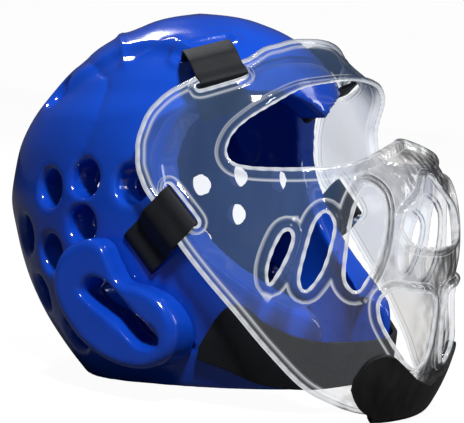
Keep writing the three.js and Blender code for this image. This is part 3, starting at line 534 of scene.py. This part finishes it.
def strapLine(route, count):
    centres = []
    for around, up, surface, lift in route:
        angle, height = np.array(-math.radians(around)), up * shellSize["height"]
        away = strapSize["fit"] + lift + strapSize["thickness"] / 2
        if surface == "shield":
            share = np.array(height / shieldSize["top"])
            centre = shieldSurface(angle, share)
            centre = centre + shieldNormal(angle, share) * (away + shieldSize["wall"] / 2)
        else:
            share = np.array(up)
            if surface == "lining":
                away = -(away + shellSize["wall"])
            centre = shellPoint(angle, share) + shellNormal(angle, share) * away
        centres.append(centre)
    start, middle, end = strapSize["flatStretch"]
    around, up = route[middle][:2]
    flat = shieldNormal(np.array(-math.radians(around)),
                        np.array(up * shellSize["height"] / shieldSize["top"]))
    across = unit(np.cross(centres[end] - centres[start], flat))
    return roundCurve(centres, count), across


def strapBody(route, name, edgeEase=0.0, faceEase=0.0):
    columns, rows = strapSize["columns"], strapSize["rows"]
    line, across = strapLine(route, rows)
    line[0] += unit(line[0] - line[1]) * edgeEase
    line[-1] += unit(line[-1] - line[-2]) * edgeEase
    half = strapSize["width"] / 2 + edgeEase
    length = np.linalg.norm(np.diff(line, axis=0), axis=1).sum()

    def place(side, along):
        row = np.rint(along * rows).astype(int)
        return line[row] + across * ((side * 2 - 1) * half)[:, None]
    piece = newObject(name, gridSheet(columns, rows, place, (half * 2, length)))
    thicken(piece, strapSize["thickness"] + 2 * faceEase,
            edge=0.0 if faceEase else strapSize["edge"])
    return piece


webbingLook = {
    "colors": [(0.15, (0.005, 0.006, 0.008, 1)), (1.0, (0.022, 0.025, 0.031, 1))],
    "threads": {"X": (0.42, 0.7), "Y": (0.26, 0.4)},  # scale and waver, across and along
    "cloudNoise": (60.0, 4.0), "cloudShare": 0.6, "bump": 0.22, "bumpDepth": 0.0005,
    "roughness": 0.6, "specular": 0.16, "sheen": 0.02,
}


def makeWebbing():
    look = webbingLook
    material, tree = newMaterial("webbing")
    where = addNode(tree, "UVMap", uv_map="weave").outputs["UV"]
    waves = [addNode(tree, "TexWave",
                     {"Vector": where, "Scale": scale, "Distortion": waver, "Detail": 1.0},
                     wave_type="BANDS", bands_direction=way).outputs["Fac"]
             for way, (scale, waver) in look["threads"].items()]
    weave = addMath(tree, "MULTIPLY", *waves)
    spot = addNode(tree, "TexCoord").outputs["Object"]
    cloud = addNoise(tree, spot, *look["cloudNoise"])
    both = addMath(tree, "MULTIPLY_ADD", cloud, look["cloudShare"], weave)
    cloth = addNode(tree, "BsdfPrincipled", {
        "Base Color": addRamp(tree, both, look["colors"]),
        "Normal": addBump(tree, weave, look["bump"], look["bumpDepth"]),
        "Roughness": look["roughness"], "Specular IOR Level": look["specular"],
        "Sheen Weight": look["sheen"]})
    showShader(tree, cloth.outputs["BSDF"])
    return material


webbing = makeWebbing()
settlePair(strapBody(sideRoute, "strapSideRight"), webbing, "webbing", "strap_side")
settlePair(strapBody(topRoute, "strapTopRight"), webbing, "webbing", "strap_top")


# Outlines on the side of the head, pushed outwards in stages
def sideRing(rows, count, off, grow):
    outline = roundCurve([(fore * shellSize["halfWidth"], up * shellSize["height"])
                          for fore, up in rows], count, closed=True)
    away = outline - outline.mean(axis=0)
    flat = outline + away * grow / np.linalg.norm(away, axis=1, keepdims=True)
    return np.stack([padSize["toeIn"] * flat[:, 0] - off, -flat[:, 0], flat[:, 1]], axis=1)


def sideBody(name, rows, count, stages):
    return newObject(name, ringBody([sideRing(rows, count, off, grow) for off, grow in stages]))


padSize = {
    "faceReach": 116.0, "rootShare": 0.5, "round": 6.0, "roundSteps": 7, "toeIn": 0.1,
    "voxel": 1.4, "soften": 6, "fill": 0.9, "fit": 0.7, "points": 120, "slotPoints": 80,
    "slotFlare": [(14, -3.5), (9, -2.4), (5, -0.8), (2.2, 0.4), (0, 2.2), (-2, 4)],  # depth, growth
    "innerSlotShare": 0.4, "innerSlotGrow": -0.8,
}
padRows = [  # fore, up
    (-0.03, 0.390), (-0.23, 0.356), (-0.31, 0.275), (-0.25, 0.195), (-0.08, 0.112),
    (0.15, 0.064), (0.38, 0.058), (0.54, 0.098), (0.58, 0.165), (0.49, 0.235),
    (0.35, 0.266), (0.19, 0.282), (0.12, 0.330), (0.06, 0.374),
]
slotRows = [  # fore, up
    (-0.09, 0.250), (-0.02, 0.286), (0.10, 0.275), (0.28, 0.205), (0.44, 0.160),
    (0.46, 0.125), (0.34, 0.117), (0.16, 0.175), (-0.02, 0.222),
]


def treeOf(points):
    tree = kdtree.KDTree(len(points))
    for index, point in enumerate(points):
        tree.insert(point, index)
    tree.balance()
    return tree


def distancesTo(tree, places):
    return np.array([tree.find(place)[2] for place in places])


meshSteps = {"shell": (190, 120), "lining": (120, 90), "padSeat": (160, 100)}  # columns, rows


def shellBody(name, offset, columns, rows, below):
    turn = np.arange(columns) / columns * 2 * math.pi
    rings = []
    for up in np.sin(np.arange(rows) / rows * math.pi / 2) ** shellSize["ringPower"]:
        if up < crownLimits["ring"]:
            rings.append(shellOffset(turn, np.full(columns, up), offset))
    rings[0] = rings[0] * (1, 1, 0)
    if below:
        rings.insert(0, rings[0] - (0, 0, below))
    top = np.array([0, 0, shellSize["height"] + offset])
    rings.append(top + (rings[-1] - top) * crownLimits["close"])
    return newObject(name, ringBody(rings))


def makeEarPads():
    size = padSize
    root = shellSize["halfWidth"] * size["rootShare"]
    reach, bend = size["faceReach"], size["round"]
    turned = [(reach - bend * (1 - math.sin(step)), -bend * (1 - math.cos(step)))
              for step in np.linspace(0, math.pi / 2, size["roundSteps"])]
    pad = sideBody("earPadRight", padRows, size["points"], [(root, 0)] + turned)
    flare = [(reach - depth, grow) for depth, grow in size["slotFlare"]]
    slot = sideBody("earSlot", slotRows, size["slotPoints"], [(root - 1, flare[0][1])] + flare)
    cutAway(pad, [slot, shellBody("padSeat", size["fit"], *meshSteps["padSeat"], 0)])
    soften(pad, size["voxel"], size["soften"])
    for made in settlePair(pad, foamVinyl, "foam", "ear_pad"):
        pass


makeEarPads()

# Cutters of the foam shell's openings: points, and shares of the shell's size that they reach
cutterSize = {"facePoints": 70, "faceBeyond": 1.4, "faceAcross": 1.3, "browSteps": 21,
              "gapBeyond": 1.1, "gapTall": 0.3, "ventPoints": 40, "slitWall": 1.6}


# Foam shell: hollow body, then the openings, then the rounding of the dipped skin
def faceCutter():
    size = shellSize
    edge = roundCurve([(-fore * size["frontReach"], up * size["height"]) for fore, up in faceRows],
                      cutterSize["facePoints"])
    beyond = -size["frontReach"] * cutterSize["faceBeyond"]
    across = size["halfWidth"] * cutterSize["faceAcross"]
    brow = np.linspace(-size["browHalf"], size["browHalf"], cutterSize["browSteps"])
    rings = []
    for x in [-across, *brow, across]:
        drop = size["browDrop"] * max(0, 1 - abs(x) / size["browHalf"]) ** size["browPower"]
        fade = np.clip(1 - np.arange(len(edge)) / size["browFade"], 0, 1)
        ring = [(x, beyond, edge[0][1] - drop)]
        ring += [(x, y, z - drop * share) for (y, z), share in zip(edge, fade)]
        ring += [(x, edge[-1][0], -size["wall"]), (x, beyond, -size["wall"])]
        rings.append(ring)
    return newObject("faceCutter", ringBody(rings))


def chinGapCutter():
    size = shellSize
    front = size["frontReach"] * cutterSize["gapBeyond"]
    tall = size["height"] * cutterSize["gapTall"]
    bm = bmesh.new()
    bmesh.ops.create_cube(bm, size=1)
    bmesh.ops.scale(bm, vec=(size["chinGapHalf"] * 2, front, tall), verts=bm.verts)
    middle = size["chinGapDepth"] - size["frontReach"] - front / 2
    bmesh.ops.translate(bm, verts=bm.verts, vec=(0, middle, tall / 2 - size["wall"]))
    return newObject("chinGapCutter", bm)


def ventCutter(around, up, side):
    size = shellSize
    angle = math.radians(around) * side
    out = Vector(shellNormal(np.array(angle), np.array(up)))
    spin = np.linspace(0, 2 * math.pi, cutterSize["ventPoints"], endpoint=False)
    hole, lip, depth = size["ventRadius"], size["ventLip"], size["ventLipDepth"]
    inner, wall = size["ventInner"], size["wall"]
    stages = [  # radius, height
        (inner, -wall * 2), (inner, -wall), (hole - 1.0, -wall * 0.7), (hole, -depth),
        (hole + 0.9, -depth * 0.55), (hole + 2.4, -depth * 0.15), (lip, 0.6), (lip + 1, 4),
    ]
    cutter = newObject("ventCutter", ringBody([
        np.stack([radius * np.cos(spin), radius * np.sin(spin), 0 * spin + height], axis=1)
        for radius, height in stages]))
    turn = out.to_track_quat("Z", "Y").to_matrix().to_4x4()
    cutter.data.transform(Matrix.Translation(Vector(shellPoint(angle, up))) @ turn)
    return cutter


# Points along the pressed lines, the rivet's steepness, and what counts as the outer face
pressSteps = {"strap": 40, "fold": 160, "rivetPower": 4, "outwardRise": 0.6}


# Folds, lips round the top straps' slots and a rivet dimple below each ear pad
def pressFoam(shell):
    size = shellSize
    mesh = shell.data
    places = np.array([vert.co for vert in mesh.vertices])
    normals = np.array([vert.normal for vert in mesh.vertices])
    line, across = strapLine(topRoute, pressSteps["strap"])
    half = strapSize["width"] / 2
    push = np.zeros(len(places))
    for side in (-1, 1):
        mirror = np.array([side, 1, 1])
        seat = shellPoint(np.array(math.radians(-topRoute[0][0])), np.array(topRoute[0][1]))
        away = places * mirror - seat
        along = np.clip(away @ across, -half, half)
        distance = np.linalg.norm(away - along[:, None] * across, axis=1)
        push += size["slotLip"] * np.exp(-((distance - size["slotLipAway"])
                                           / size["slotLipReach"]) ** 2)
        push -= size["slotDip"] * np.exp(-(distance / size["slotDipReach"]) ** 2)
        rivet = shellPoint(np.array(math.radians(-size["dimpleAngle"])), np.array(size["dimpleUp"]))
        distance = np.linalg.norm(places * mirror - rivet, axis=1)
        push -= size["dimpleDepth"] * np.exp(-(distance / size["dimpleReach"])
                                             ** pressSteps["rivetPower"])
        for height, reach, turns in foldRows:
            angles, ups = spaced(np.array(turns), pressSteps["fold"]).T
            fold = treeOf(shellPoint(-np.radians(angles), ups) * mirror)
            push += height * np.exp(-distancesTo(fold, places) / reach)
    outside = (normals * places * (1, 1, pressSteps["outwardRise"])).sum(axis=1) > 0
    places += normals * (push * outside)[:, None]
    mesh.vertices.foreach_set("co", places.ravel())
    mesh.update()


def makeHelmetShell():
    size = shellSize
    shell = shellBody("helmetShell", 0, *meshSteps["shell"], 0)
    slotStages = [(reach, padSize["innerSlotGrow"]) for reach in
                  (size["halfWidth"] * padSize["innerSlotShare"], padSize["faceReach"])]
    slotRight = sideBody("slotRight", slotRows, padSize["slotPoints"], slotStages)
    cutters = [shellBody("lining", -size["wall"], *meshSteps["lining"], size["wall"]), faceCutter(),
               chinGapCutter(), slotRight, mirroredCopy(slotRight, "slotLeft")]
    cutters += [ventCutter(around, up, side) for around, up in ventRows for side in (-1, 1)]
    slit = strapBody(topRoute, "slit", strapSize["slitEase"], cutterSize["slitWall"])
    cutAway(shell, cutters + [slit, mirroredCopy(slit, "slitLeft")])
    soften(shell, size["voxel"], size["soften"])
    pressFoam(shell)
    settle(shell, foamVinyl, "foam", "helmet_shell")
    for vert in shell.data.vertices:
        vert.co.z = max(vert.co.z, 0)


makeHelmetShell()


# Points on the shield's outlines, rounds of smoothing, and what keeps the fill clear of an edge
loopSize = {"opening": 120, "openingRounds": 4, "strapLine": 400, "strapSlot": 160,
            "strapRounds": 2, "rim": 400, "rimRounds": 8, "least": 24, "slope": 0.5,
            "ringClear": 0.93, "fillClear": 0.4, "fillFrom": -0.08, "rowShare": 0.866}


# Loops of the shield's openings, in millimetres round it and up it
def chartCurve(rows, count):
    return roundCurve([(around * shieldSize["halfSpan"], up * shieldSize["top"])
                       for around, up in rows], count)


def evenLoop(chain, gap, rounds):
    chain = np.vstack([chain, chain[:1]])
    length = np.linalg.norm(np.diff(chain, axis=0), axis=1).sum()
    loop = spaced(chain, max(loopSize["least"], int(length / gap)))[:-1]
    for _ in range(rounds):
        loop = loop * 0.5 + (np.roll(loop, 1, axis=0) + np.roll(loop, -1, axis=0)) * 0.25
    return loop


def openingLoop(rows):
    first, second = [chartCurve(part, loopSize["opening"]) for part in rows]
    return evenLoop(np.vstack([first, second[::-1]]), shieldSize["pointGap"],
                    loopSize["openingRounds"])


def flipped(loop):
    return loop[::-1] * (-1, 1)


def wholeRows(rows):
    return [part + [(-around, up) for around, up in part[-2::-1]] for part in rows]


# Slot where a strap goes in through the shield
def strapLoop(route):
    line, across = strapLine(route, loopSize["strapLine"])
    angle, up = np.arctan2(line[:, 0], -line[:, 1]), line[:, 2] / shieldSize["top"]
    out = np.linalg.norm(line[:, :2], axis=1)
    above = out > np.linalg.norm(shieldSurface(angle, up)[:, :2], axis=1)
    last = int(np.flatnonzero(above[:-1] & ~above[1:])[-1])
    middle = line[last]
    face = shieldNormal(angle[last], up[last])
    beside = unit(np.cross(face, across))
    spin = np.linspace(0, 2 * math.pi, loopSize["strapSlot"], endpoint=False)
    c, s = np.cos(spin), np.sin(spin)
    power = strapSize["slotRound"]
    square = (np.abs(c) ** power + np.abs(s) ** power) ** (-1 / power)
    half = strapSize["width"] / 2 + strapSize["slitEase"]
    loop = (middle + (across - face * (across @ face)) * (c * square * half)[:, None]
            + beside * (s * square * strapSize["slotHalf"])[:, None])
    return evenLoop(chartOf(loop), shieldSize["pointGap"], loopSize["strapRounds"])


def rimLoop():
    share = np.sin(np.linspace(-0.5, 0.5, loopSize["rim"]) * math.pi)
    edges = shieldEdge(np.abs(share)) * shieldSize["top"]
    span = share * shieldSize["halfSpan"]
    low = np.stack([span, edges[:, 0]], axis=1)
    high = np.stack([span, edges[:, 1]], axis=1)
    return evenLoop(np.vstack([low, high[::-1]]), shieldSize["pointGap"], loopSize["rimRounds"])


def insideLoop(points, loop):
    inside = np.zeros(len(points), bool)
    for (ax, ay), (bx, by) in zip(loop, np.roll(loop, -1, axis=0)):
        crosses = (ay > points[:, 1]) != (by > points[:, 1])
        where = (bx - ax) * (points[:, 1] - ay) / (by - ay if by != ay else 1) + ax
        inside ^= crosses & (points[:, 0] < where)
    return inside


def inOutline(points, rim, holes):
    keep = insideLoop(points, rim)
    for hole in holes:
        keep &= ~insideLoop(points, hole)
    return keep


def onShield(points, offset=0.0):
    return shieldOffset(points[:, 0], points[:, 1] / shieldSize["top"], offset)


# Points beside a loop at a true distance from it, on both sides
def besideLoop(loop, distance):
    run = unit(np.roll(loop, -1, axis=0) - np.roll(loop, 1, axis=0))
    step = loopSize["slope"]
    right = (onShield(loop + (step, 0)) - onShield(loop - (step, 0))) / (2 * step)
    rise = (onShield(loop + (0, step)) - onShield(loop - (0, step))) / (2 * step)
    rr, ru, uu = (right * right).sum(1), (right * rise).sum(1), (rise * rise).sum(1)
    out = np.stack([uu * run[:, 1] + ru * run[:, 0], -ru * run[:, 1] - rr * run[:, 0]], axis=1)
    length = np.sqrt(rr * out[:, 0] ** 2 + 2 * ru * out[:, 0] * out[:, 1] + uu * out[:, 1] ** 2)
    out *= (distance / length)[:, None]
    return np.vstack([loop + out, loop - out])


def shieldPlan():
    rim = rimLoop()
    groups = {"eye": [openingLoop(wholeRows(eyeRows))],
              "cheek": [openingLoop(rows) for rows in cheekRows],
              "low": [openingLoop(mouthRows)],
              "strap": [strapLoop(sideRoute), strapLoop(topRoute)]}
    for name in ("cheek", "low", "strap"):
        groups[name] += [flipped(loop) for loop in groups[name]]
    groups["low"].append(openingLoop(noseRows))
    holes = [loop for group in groups.values() for loop in group]
    dense = [evenLoop(loop, shieldSize["edgeGap"], 0) for loop in [rim] + holes]
    edgeTree = treeOf(np.vstack([onShield(loop) for loop in dense]))
    beside = []
    for distance in shieldSize["ringsAt"]:
        for loop in [rim] + holes:
            some = besideLoop(loop, distance)
            far = distancesTo(edgeTree, onShield(some))
            beside.append(some[far > distance * loopSize["ringClear"]])
    gap = shieldSize["fillGap"]
    span, top = shieldSize["halfSpan"], shieldSize["top"]
    across = np.arange(-span, span, gap)
    rows = np.arange(loopSize["fillFrom"] * top, top, gap * loopSize["rowShare"])
    fill = np.vstack([np.stack([across + (index % 2) * gap / 2, 0 * across + row], axis=1)
                      for index, row in enumerate(rows)])
    far = distancesTo(edgeTree, onShield(fill))
    beside.append(fill[far > max(shieldSize["ringsAt"]) + gap * loopSize["fillClear"]])
    points = np.vstack(beside)
    apart, seen, least = [], set(), shieldSize["leastGap"]
    for point in points[inOutline(points, rim, holes)]:
        cell = (round(point[0] / least), round(point[1] / least))
        if cell not in seen:
            seen.add(cell)
            apart.append(point)
    return rim, groups, holes, np.array(apart)


# Height of the rolled rim and of the collars round the openings, and the painted highlight lines
# along their edges
def shieldRaise(places, rim, groups):
    size, light = shieldSize, shieldSize["paintedLines"]

    def away(loops):
        tree = treeOf(np.vstack([onShield(evenLoop(loop, size["edgeGap"], 0)) for loop in loops]))
        return distancesTo(tree, places)

    def lines(distance, width, foot, footWidth):
        return (np.exp(-(distance / width) ** 2)
                + light["footShare"] * np.exp(-((distance - foot) / footWidth) ** 2))
    toRim = away([rim])
    across = np.clip(toRim / size["rimWidth"], 0, 1) * 2 - 1
    height = size["rimRaise"] * np.cos(across * math.pi / 2) ** size["rimRound"]
    paintedLines = lines(toRim, light["rim"], size["rimWidth"], light["rimFoot"])
    for name, loops in groups.items():
        raised, base = size["collars"][name]
        distance = away(loops)
        lip = 1 - size["lipDrop"] * (1 - np.clip(distance / size["lipAt"], 0, 1)) ** 2
        collar = raised * (1 - smoothStep(size["lipAt"], base, distance)) * lip
        height = np.maximum(height, collar)
        paintedLines += lines(distance, light["lip"], base, light["lipFoot"])
    return height, np.clip(paintedLines, 0, 1)


def makeFaceShield():
    rim, groups, holes, inner = shieldPlan()
    loops = [rim] + holes
    points = np.vstack(loops + [inner])
    edges, start = [], 0
    for loop in loops:
        count = len(loop)
        edges += [(start + k, start + (k + 1) % count) for k in range(count)]
        start += count
    flat, _, faces = geometry.delaunay_2d_cdt([Vector(point) for point in points], edges, [],
                                              0, meshFinish["merge"])[:3]
    flat = np.array([tuple(point) for point in flat])
    faces = np.array(faces)
    keep = inOutline(flat[faces].mean(axis=1), rim, holes)
    height, paintedLines = shieldRaise(onShield(flat), rim, groups)
    placed = onShield(flat, height)
    mesh = bpy.data.meshes.new("faceShield")
    mesh.from_pydata(placed.tolist(), [], faces[keep].tolist())
    # painted highlight lines, kept on the points for the emission in the shield's material
    mesh.attributes.new("paintedRimLight", "FLOAT", "POINT").data.foreach_set("value", paintedLines)
    bm = bmesh.new()
    bm.from_mesh(mesh)
    bmesh.ops.delete(bm, geom=[vert for vert in bm.verts if not vert.link_faces], context="VERTS")
    faceForward(bm)
    shield = newObject("faceShield", bm)
    thicken(shield, shieldSize["wall"])
    return settle(shield, makeShieldClear(), "shield", "face_shield",
                  sharp=shieldSize["sharpAngle"])


# Clear shield: tinted where it turns away, with a faint painted reflection over the foam
# and painted highlight lines at its edges, both of them emitted light.
# Places on it are in metres, because it is settled before it is shaded.
clearLook = {
    # painted reflection: emitted strength everywhere and over the foam, the foam's height span, its
    # colours
    "paintedReflection": 0.022, "foamPaintedReflection": 0.062, "foamSpan": (0.055, 0.095),
    "paintedReflectionColors": [(0.0, (0.90, 0.93, 1.0, 1)), (0.5, (0.26, 0.47, 0.95, 1))],
    # share, colour and strength of the painted highlight lines, which are emitted light
    "paintedRimShare": 0.8, "paintedRimColor": (0.93, 0.96, 1.0, 1), "paintedRimLight": 0.9,
    # streaks that break up the painted reflection over the foam
    "streaks": (34, 34, 7), "streakNoise": (1.0, 4.0), "streakSource": (0.3, 0.7),
    "streakSpan": (0.6, 1.25),
    "roughness": 0.05, "waveNoise": (42.0, 2.0), "waveDepth": 0.01, "waveSpan": (0.06, 0.9),
    "cheekAt": -0.104, "frontAt": -0.130, "turnBlend": 0.5,
    "tint": [(0.0, (0.97, 0.97, 0.97, 1)), (0.13, (0.93, 0.93, 0.93, 1)),
             (0.26, (0.79, 0.785, 0.775, 1)), (0.42, (0.85, 0.845, 0.84, 1)),
             (0.56, (0.74, 0.735, 0.73, 1)), (0.80, (0.32, 0.32, 0.32, 1)),
             (1.0, (0.12, 0.12, 0.13, 1))],
    "mirror": 0.04, "grazeMirror": 0.5, "grazePower": 4.0,
}


def makeShieldClear():
    look = clearLook
    material, tree = newMaterial("shieldClear")
    rim = addNode(tree, "Attribute", attribute_name="paintedRimLight").outputs["Fac"]
    where = addNode(tree, "TexCoord").outputs["Object"]
    place = addNode(tree, "SeparateXYZ", {"Vector": where}).outputs
    ripple = addNoise(tree, where, *look["waveNoise"])
    uneven = addRange(tree, place["Y"], (look["cheekAt"], look["frontAt"]), look["waveSpan"])
    wave = addBump(tree, ripple, uneven, look["waveDepth"])
    turned = addNode(tree, "LayerWeight", {"Blend": look["turnBlend"], "Normal": wave})
    facing = turned.outputs["Facing"]
    clear = addNode(tree, "BsdfTransparent", {"Color": addRamp(tree, facing, look["tint"])})
    # Where the painted reflection goes: the cheeks and the part over the foam, broken into streaks
    sides = addRange(tree, place["Y"], (look["frontAt"], look["cheekAt"]))
    high = addRange(tree, place["Z"], look["foamSpan"])
    stretch = addNode(tree, "Mapping", {"Vector": where, "Scale": look["streaks"]})
    smear = addNoise(tree, stretch.outputs["Vector"], *look["streakNoise"])
    streak = addRange(tree, smear, look["streakSource"], look["streakSpan"])
    overFoam = addMath(tree, "MULTIPLY", addMath(tree, "MULTIPLY", sides, high), streak)
    # Painted reflection: emitted light, bluer and stronger over the foam, faint over all the shield
    veil = addNode(tree, "Emission", {
        "Color": addRamp(tree, overFoam, look["paintedReflectionColors"]),
        "Strength": addMath(tree, "MULTIPLY_ADD", overFoam, look["foamPaintedReflection"], look["paintedReflection"])})
    veiled = addNode(tree, "AddShader", {0: clear.outputs["BSDF"], 1: veil.outputs["Emission"]})
    # Painted highlight lines: emitted light along the rim and round the openings
    shine = addNode(tree, "Emission", {"Color": look["paintedRimColor"], "Strength": look["paintedRimLight"]})
    body = addNode(tree, "MixShader",
                   {0: addMath(tree, "MULTIPLY", rim, look["paintedRimShare"]),
                    1: veiled.outputs["Shader"], 2: shine.outputs["Emission"]})
    gloss = addNode(tree, "BsdfGlossy", {"Roughness": look["roughness"], "Normal": wave})
    grazing = addMath(tree, "POWER", facing, look["grazePower"])
    mirror = addMath(tree, "MULTIPLY_ADD", grazing, look["grazeMirror"], look["mirror"])
    mix = addNode(tree, "MixShader",
                  {0: mirror, 1: body.outputs["Shader"], 2: gloss.outputs["BSDF"]})
    showShader(tree, mix.outputs["Shader"])
    return material


makeFaceShield()

# Rubber bumper that cups the chin of the shield
bumperSize = {"wall": 4.0, "halfSpan": 61.0, "drop": 20.0, "inturn": 17.0, "fit": 0.7,
              "edge": 1.3, "columns": 120, "rows": 28, "stages": (0, 0.35, 0.7, 1),
              "underShare": 0.35, "lipStages": (0.004, 0.008)}
bumperRows = [  # around, top, low, wrap
    (0.00, 0.022, -0.062, 1.00), (0.25, 0.043, -0.058, 1.00), (0.41, 0.069, -0.054, 0.75),
    (0.55, 0.096, -0.050, 0.25), (0.64, 0.113, -0.045, 0.00), (0.80, 0.116, -0.028, 0.00),
    (0.92, 0.094, -0.004, 0.00), (1.00, 0.052, 0.028, 0.00),
]


def makeChinBumper():
    size = bumperSize
    outline = smoothRows(bumperRows)
    columns, rows = size["columns"], size["rows"]
    seat = shieldSize["wall"] / 2 + size["fit"]
    sections = []
    for share in np.linspace(-1, 1, columns + 1):
        around = share * size["halfSpan"]
        top, low, wrap = outline(abs(share))
        wrap = np.clip(wrap, 0, 1)
        edge = shieldEdge(abs(around) / shieldSize["halfSpan"])[0]
        foot = edge if wrap > 0 else max(edge, low)
        line = [shieldOffset(around, top + (foot - top) * step, seat) for step in size["stages"]]
        heel = line[-1]
        inward = unit(heel * (-1, -1, 0))
        sole = size["wall"] - size["drop"]
        under = heel + inward * size["inturn"] * size["underShare"]
        back = heel + inward * size["inturn"]
        under[2], back[2] = sole, sole + size["wall"]
        plain = [shieldOffset(around, foot - drop, seat) for drop in size["lipStages"]]
        line += [plain[0] + (under - plain[0]) * wrap, plain[1] + (back - plain[1]) * wrap]
        sections.append(roundCurve(line, rows))
    sections = np.array(sections)

    def place(along, down):
        return sections[np.rint(along * columns).astype(int), np.rint(down * rows).astype(int)]
    bm = gridSheet(columns, rows, place)
    faceForward(bm)
    bumper = newObject("chinBumper", bm)
    thicken(bumper, size["wall"], 1.0, size["edge"])
    return settle(bumper, makeRubber(), "rubber", "chin_bumper")


rubberLook = {
    "colors": [(0.3, (0.005, 0.005, 0.005, 1)), (0.8, (0.024, 0.024, 0.025, 1))],
    "creases": (150, 150, 22), "creaseNoise": (1.0, 3.0), "creaseStrength": 0.4,
    "creaseDepth": 0.002,
    "rough": (0.34, 0.55), "specular": 0.35,
}


def makeRubber():
    look = rubberLook
    material, tree = newMaterial("bumperRubber")
    where = addNode(tree, "TexCoord").outputs["Object"]
    stretch = addNode(tree, "Mapping", {"Vector": where, "Scale": look["creases"]})
    cloud = addNoise(tree, stretch.outputs["Vector"], *look["creaseNoise"])
    rubber = addNode(tree, "BsdfPrincipled", {
        "Base Color": addRamp(tree, cloud, look["colors"]),
        "Roughness": addRange(tree, cloud, target=look["rough"]),
        "Normal": addBump(tree, cloud, look["creaseStrength"], look["creaseDepth"]),
        "Specular IOR Level": look["specular"]})
    showShader(tree, rubber.outputs["BSDF"])
    return material


makeChinBumper()

# Chin strap round both wings of the shell
chinStrapSize = {"endAngle": 55.0, "thickness": 3.0, "seat": 0.91, "edge": 0.9,
                 "columns": 150, "rows": 16, "weave": (210.0, 32.0)}
chinStrapRows = [  # around, low, high
    (0.00, 0.017, 0.119), (0.22, 0.010, 0.123), (0.43, 0.006, 0.133), (0.63, 0.020, 0.174),
    (0.79, 0.050, 0.226), (0.87, 0.064, 0.208), (1.00, 0.082, 0.115),
]


def makeChinStrap():
    size = chinStrapSize
    outline = smoothRows(chinStrapRows)

    def place(along, rise):
        share = along * 2 - 1
        low, high = outline(np.abs(share)).T
        angle = np.radians(share * size["endAngle"])
        return shellOffset(angle, low + (high - low) * rise, size["seat"] + size["thickness"] / 2)
    strap = newObject("chinStrap",
                      gridSheet(size["columns"], size["rows"], place, size["weave"]))
    thicken(strap, size["thickness"], edge=size["edge"])
    return settle(strap, webbing, "webbing", "chin_strap")


makeChinStrap()

# Camera at the photograph's angle, in head millimetres
cameraSize = {"azimuth": -55.0, "elevation": 2.5, "distance": 1100.0, "target": (0, 0, 103),
              "lens": 128.0, "sensor": 36.0, "shiftX": 0.069, "shiftY": 0.0043}


def placeCamera():
    size = cameraSize
    turn, lift = math.radians(size["azimuth"]), math.radians(size["elevation"])
    back = Vector((math.sin(turn) * math.cos(lift), -math.cos(turn) * math.cos(lift),
                   math.sin(lift)))
    right = Vector((math.cos(turn), math.sin(turn), 0))
    rotation = Matrix((right, back.cross(right), back)).transposed().to_4x4()
    place = Matrix.Translation(Vector(size["target"]) + back * size["distance"]) @ rotation
    world = headMatrix @ place
    camera = intoScene(bpy.data.objects.new("camera", bpy.data.cameras.new("camera")))
    camera.data.lens = size["lens"]
    camera.data.sensor_fit = "HORIZONTAL"
    camera.data.sensor_width = size["sensor"]
    camera.data.shift_x = size["shiftX"]
    camera.data.shift_y = size["shiftY"]
    camera.matrix_world = Matrix.LocRotScale(world.to_translation(), world.to_quaternion(), None)
    bpy.context.scene.camera = camera


placeCamera()

# Plain floor and soft studio light
studioSize = {
    "floor": 8.0, "floorColor": (0.10, 0.10, 0.10, 1), "floorSeen": 0.96,
    "air": (1.0, 1.0, 1.0, 1), "airLight": (0.06, 0.98), "aim": (0, 0, 0.1),
    "lights": [  # name, place, width, length, watts
        ("keyLight", (-0.85, -0.85, 1.75), 0.22, 0.34, 46.0),
        ("topLight", (0.46, 1.0, 1.25), 0.25, 0.30, 9.0),
        ("farLight", (1.3, -1.3, 0.9), 0.5, 0.8, 8.0),
    ],
}


def makeStudio():
    size = studioSize
    bm = bmesh.new()
    bmesh.ops.create_grid(bm, x_segments=1, y_segments=1, size=size["floor"] / 2)
    floor = newObject("floor", bm)
    material, tree = newMaterial("floorPaper")
    seen = addNode(tree, "LightPath").outputs["Is Camera Ray"]
    paper = addNode(tree, "BsdfDiffuse", {"Color": size["floorColor"]})
    shine = addNode(tree, "Emission",
                    {"Strength": addMath(tree, "MULTIPLY", seen, size["floorSeen"])})
    both = addNode(tree, "AddShader", {0: paper.outputs["BSDF"], 1: shine.outputs["Emission"]})
    showShader(tree, both.outputs["Shader"])
    floor.data.materials.append(material)
    world = bpy.data.worlds.new("studioAir")
    world.use_nodes = True
    tree = world.node_tree
    air = tree.nodes["Background"]
    air.inputs["Color"].default_value = size["air"]
    seen = addNode(tree, "LightPath").outputs["Is Camera Ray"]
    tree.links.new(addRange(tree, seen, target=size["airLight"]), air.inputs["Strength"])
    bpy.context.scene.world = world
    for name, place, wide, tall, watts in size["lights"]:
        light = intoScene(bpy.data.objects.new(name, bpy.data.lights.new(name, "AREA")))
        light.data.shape = "RECTANGLE"
        light.data.size = wide
        light.data.size_y = tall
        light.data.energy = watts
        light.location = place
        aim = Vector(size["aim"]) - Vector(place)
        light.rotation_euler = aim.to_track_quat("-Z", "Y").to_euler()


makeStudio()
bpy.context.scene.view_settings.view_transform = "Standard"
print("studio ready")
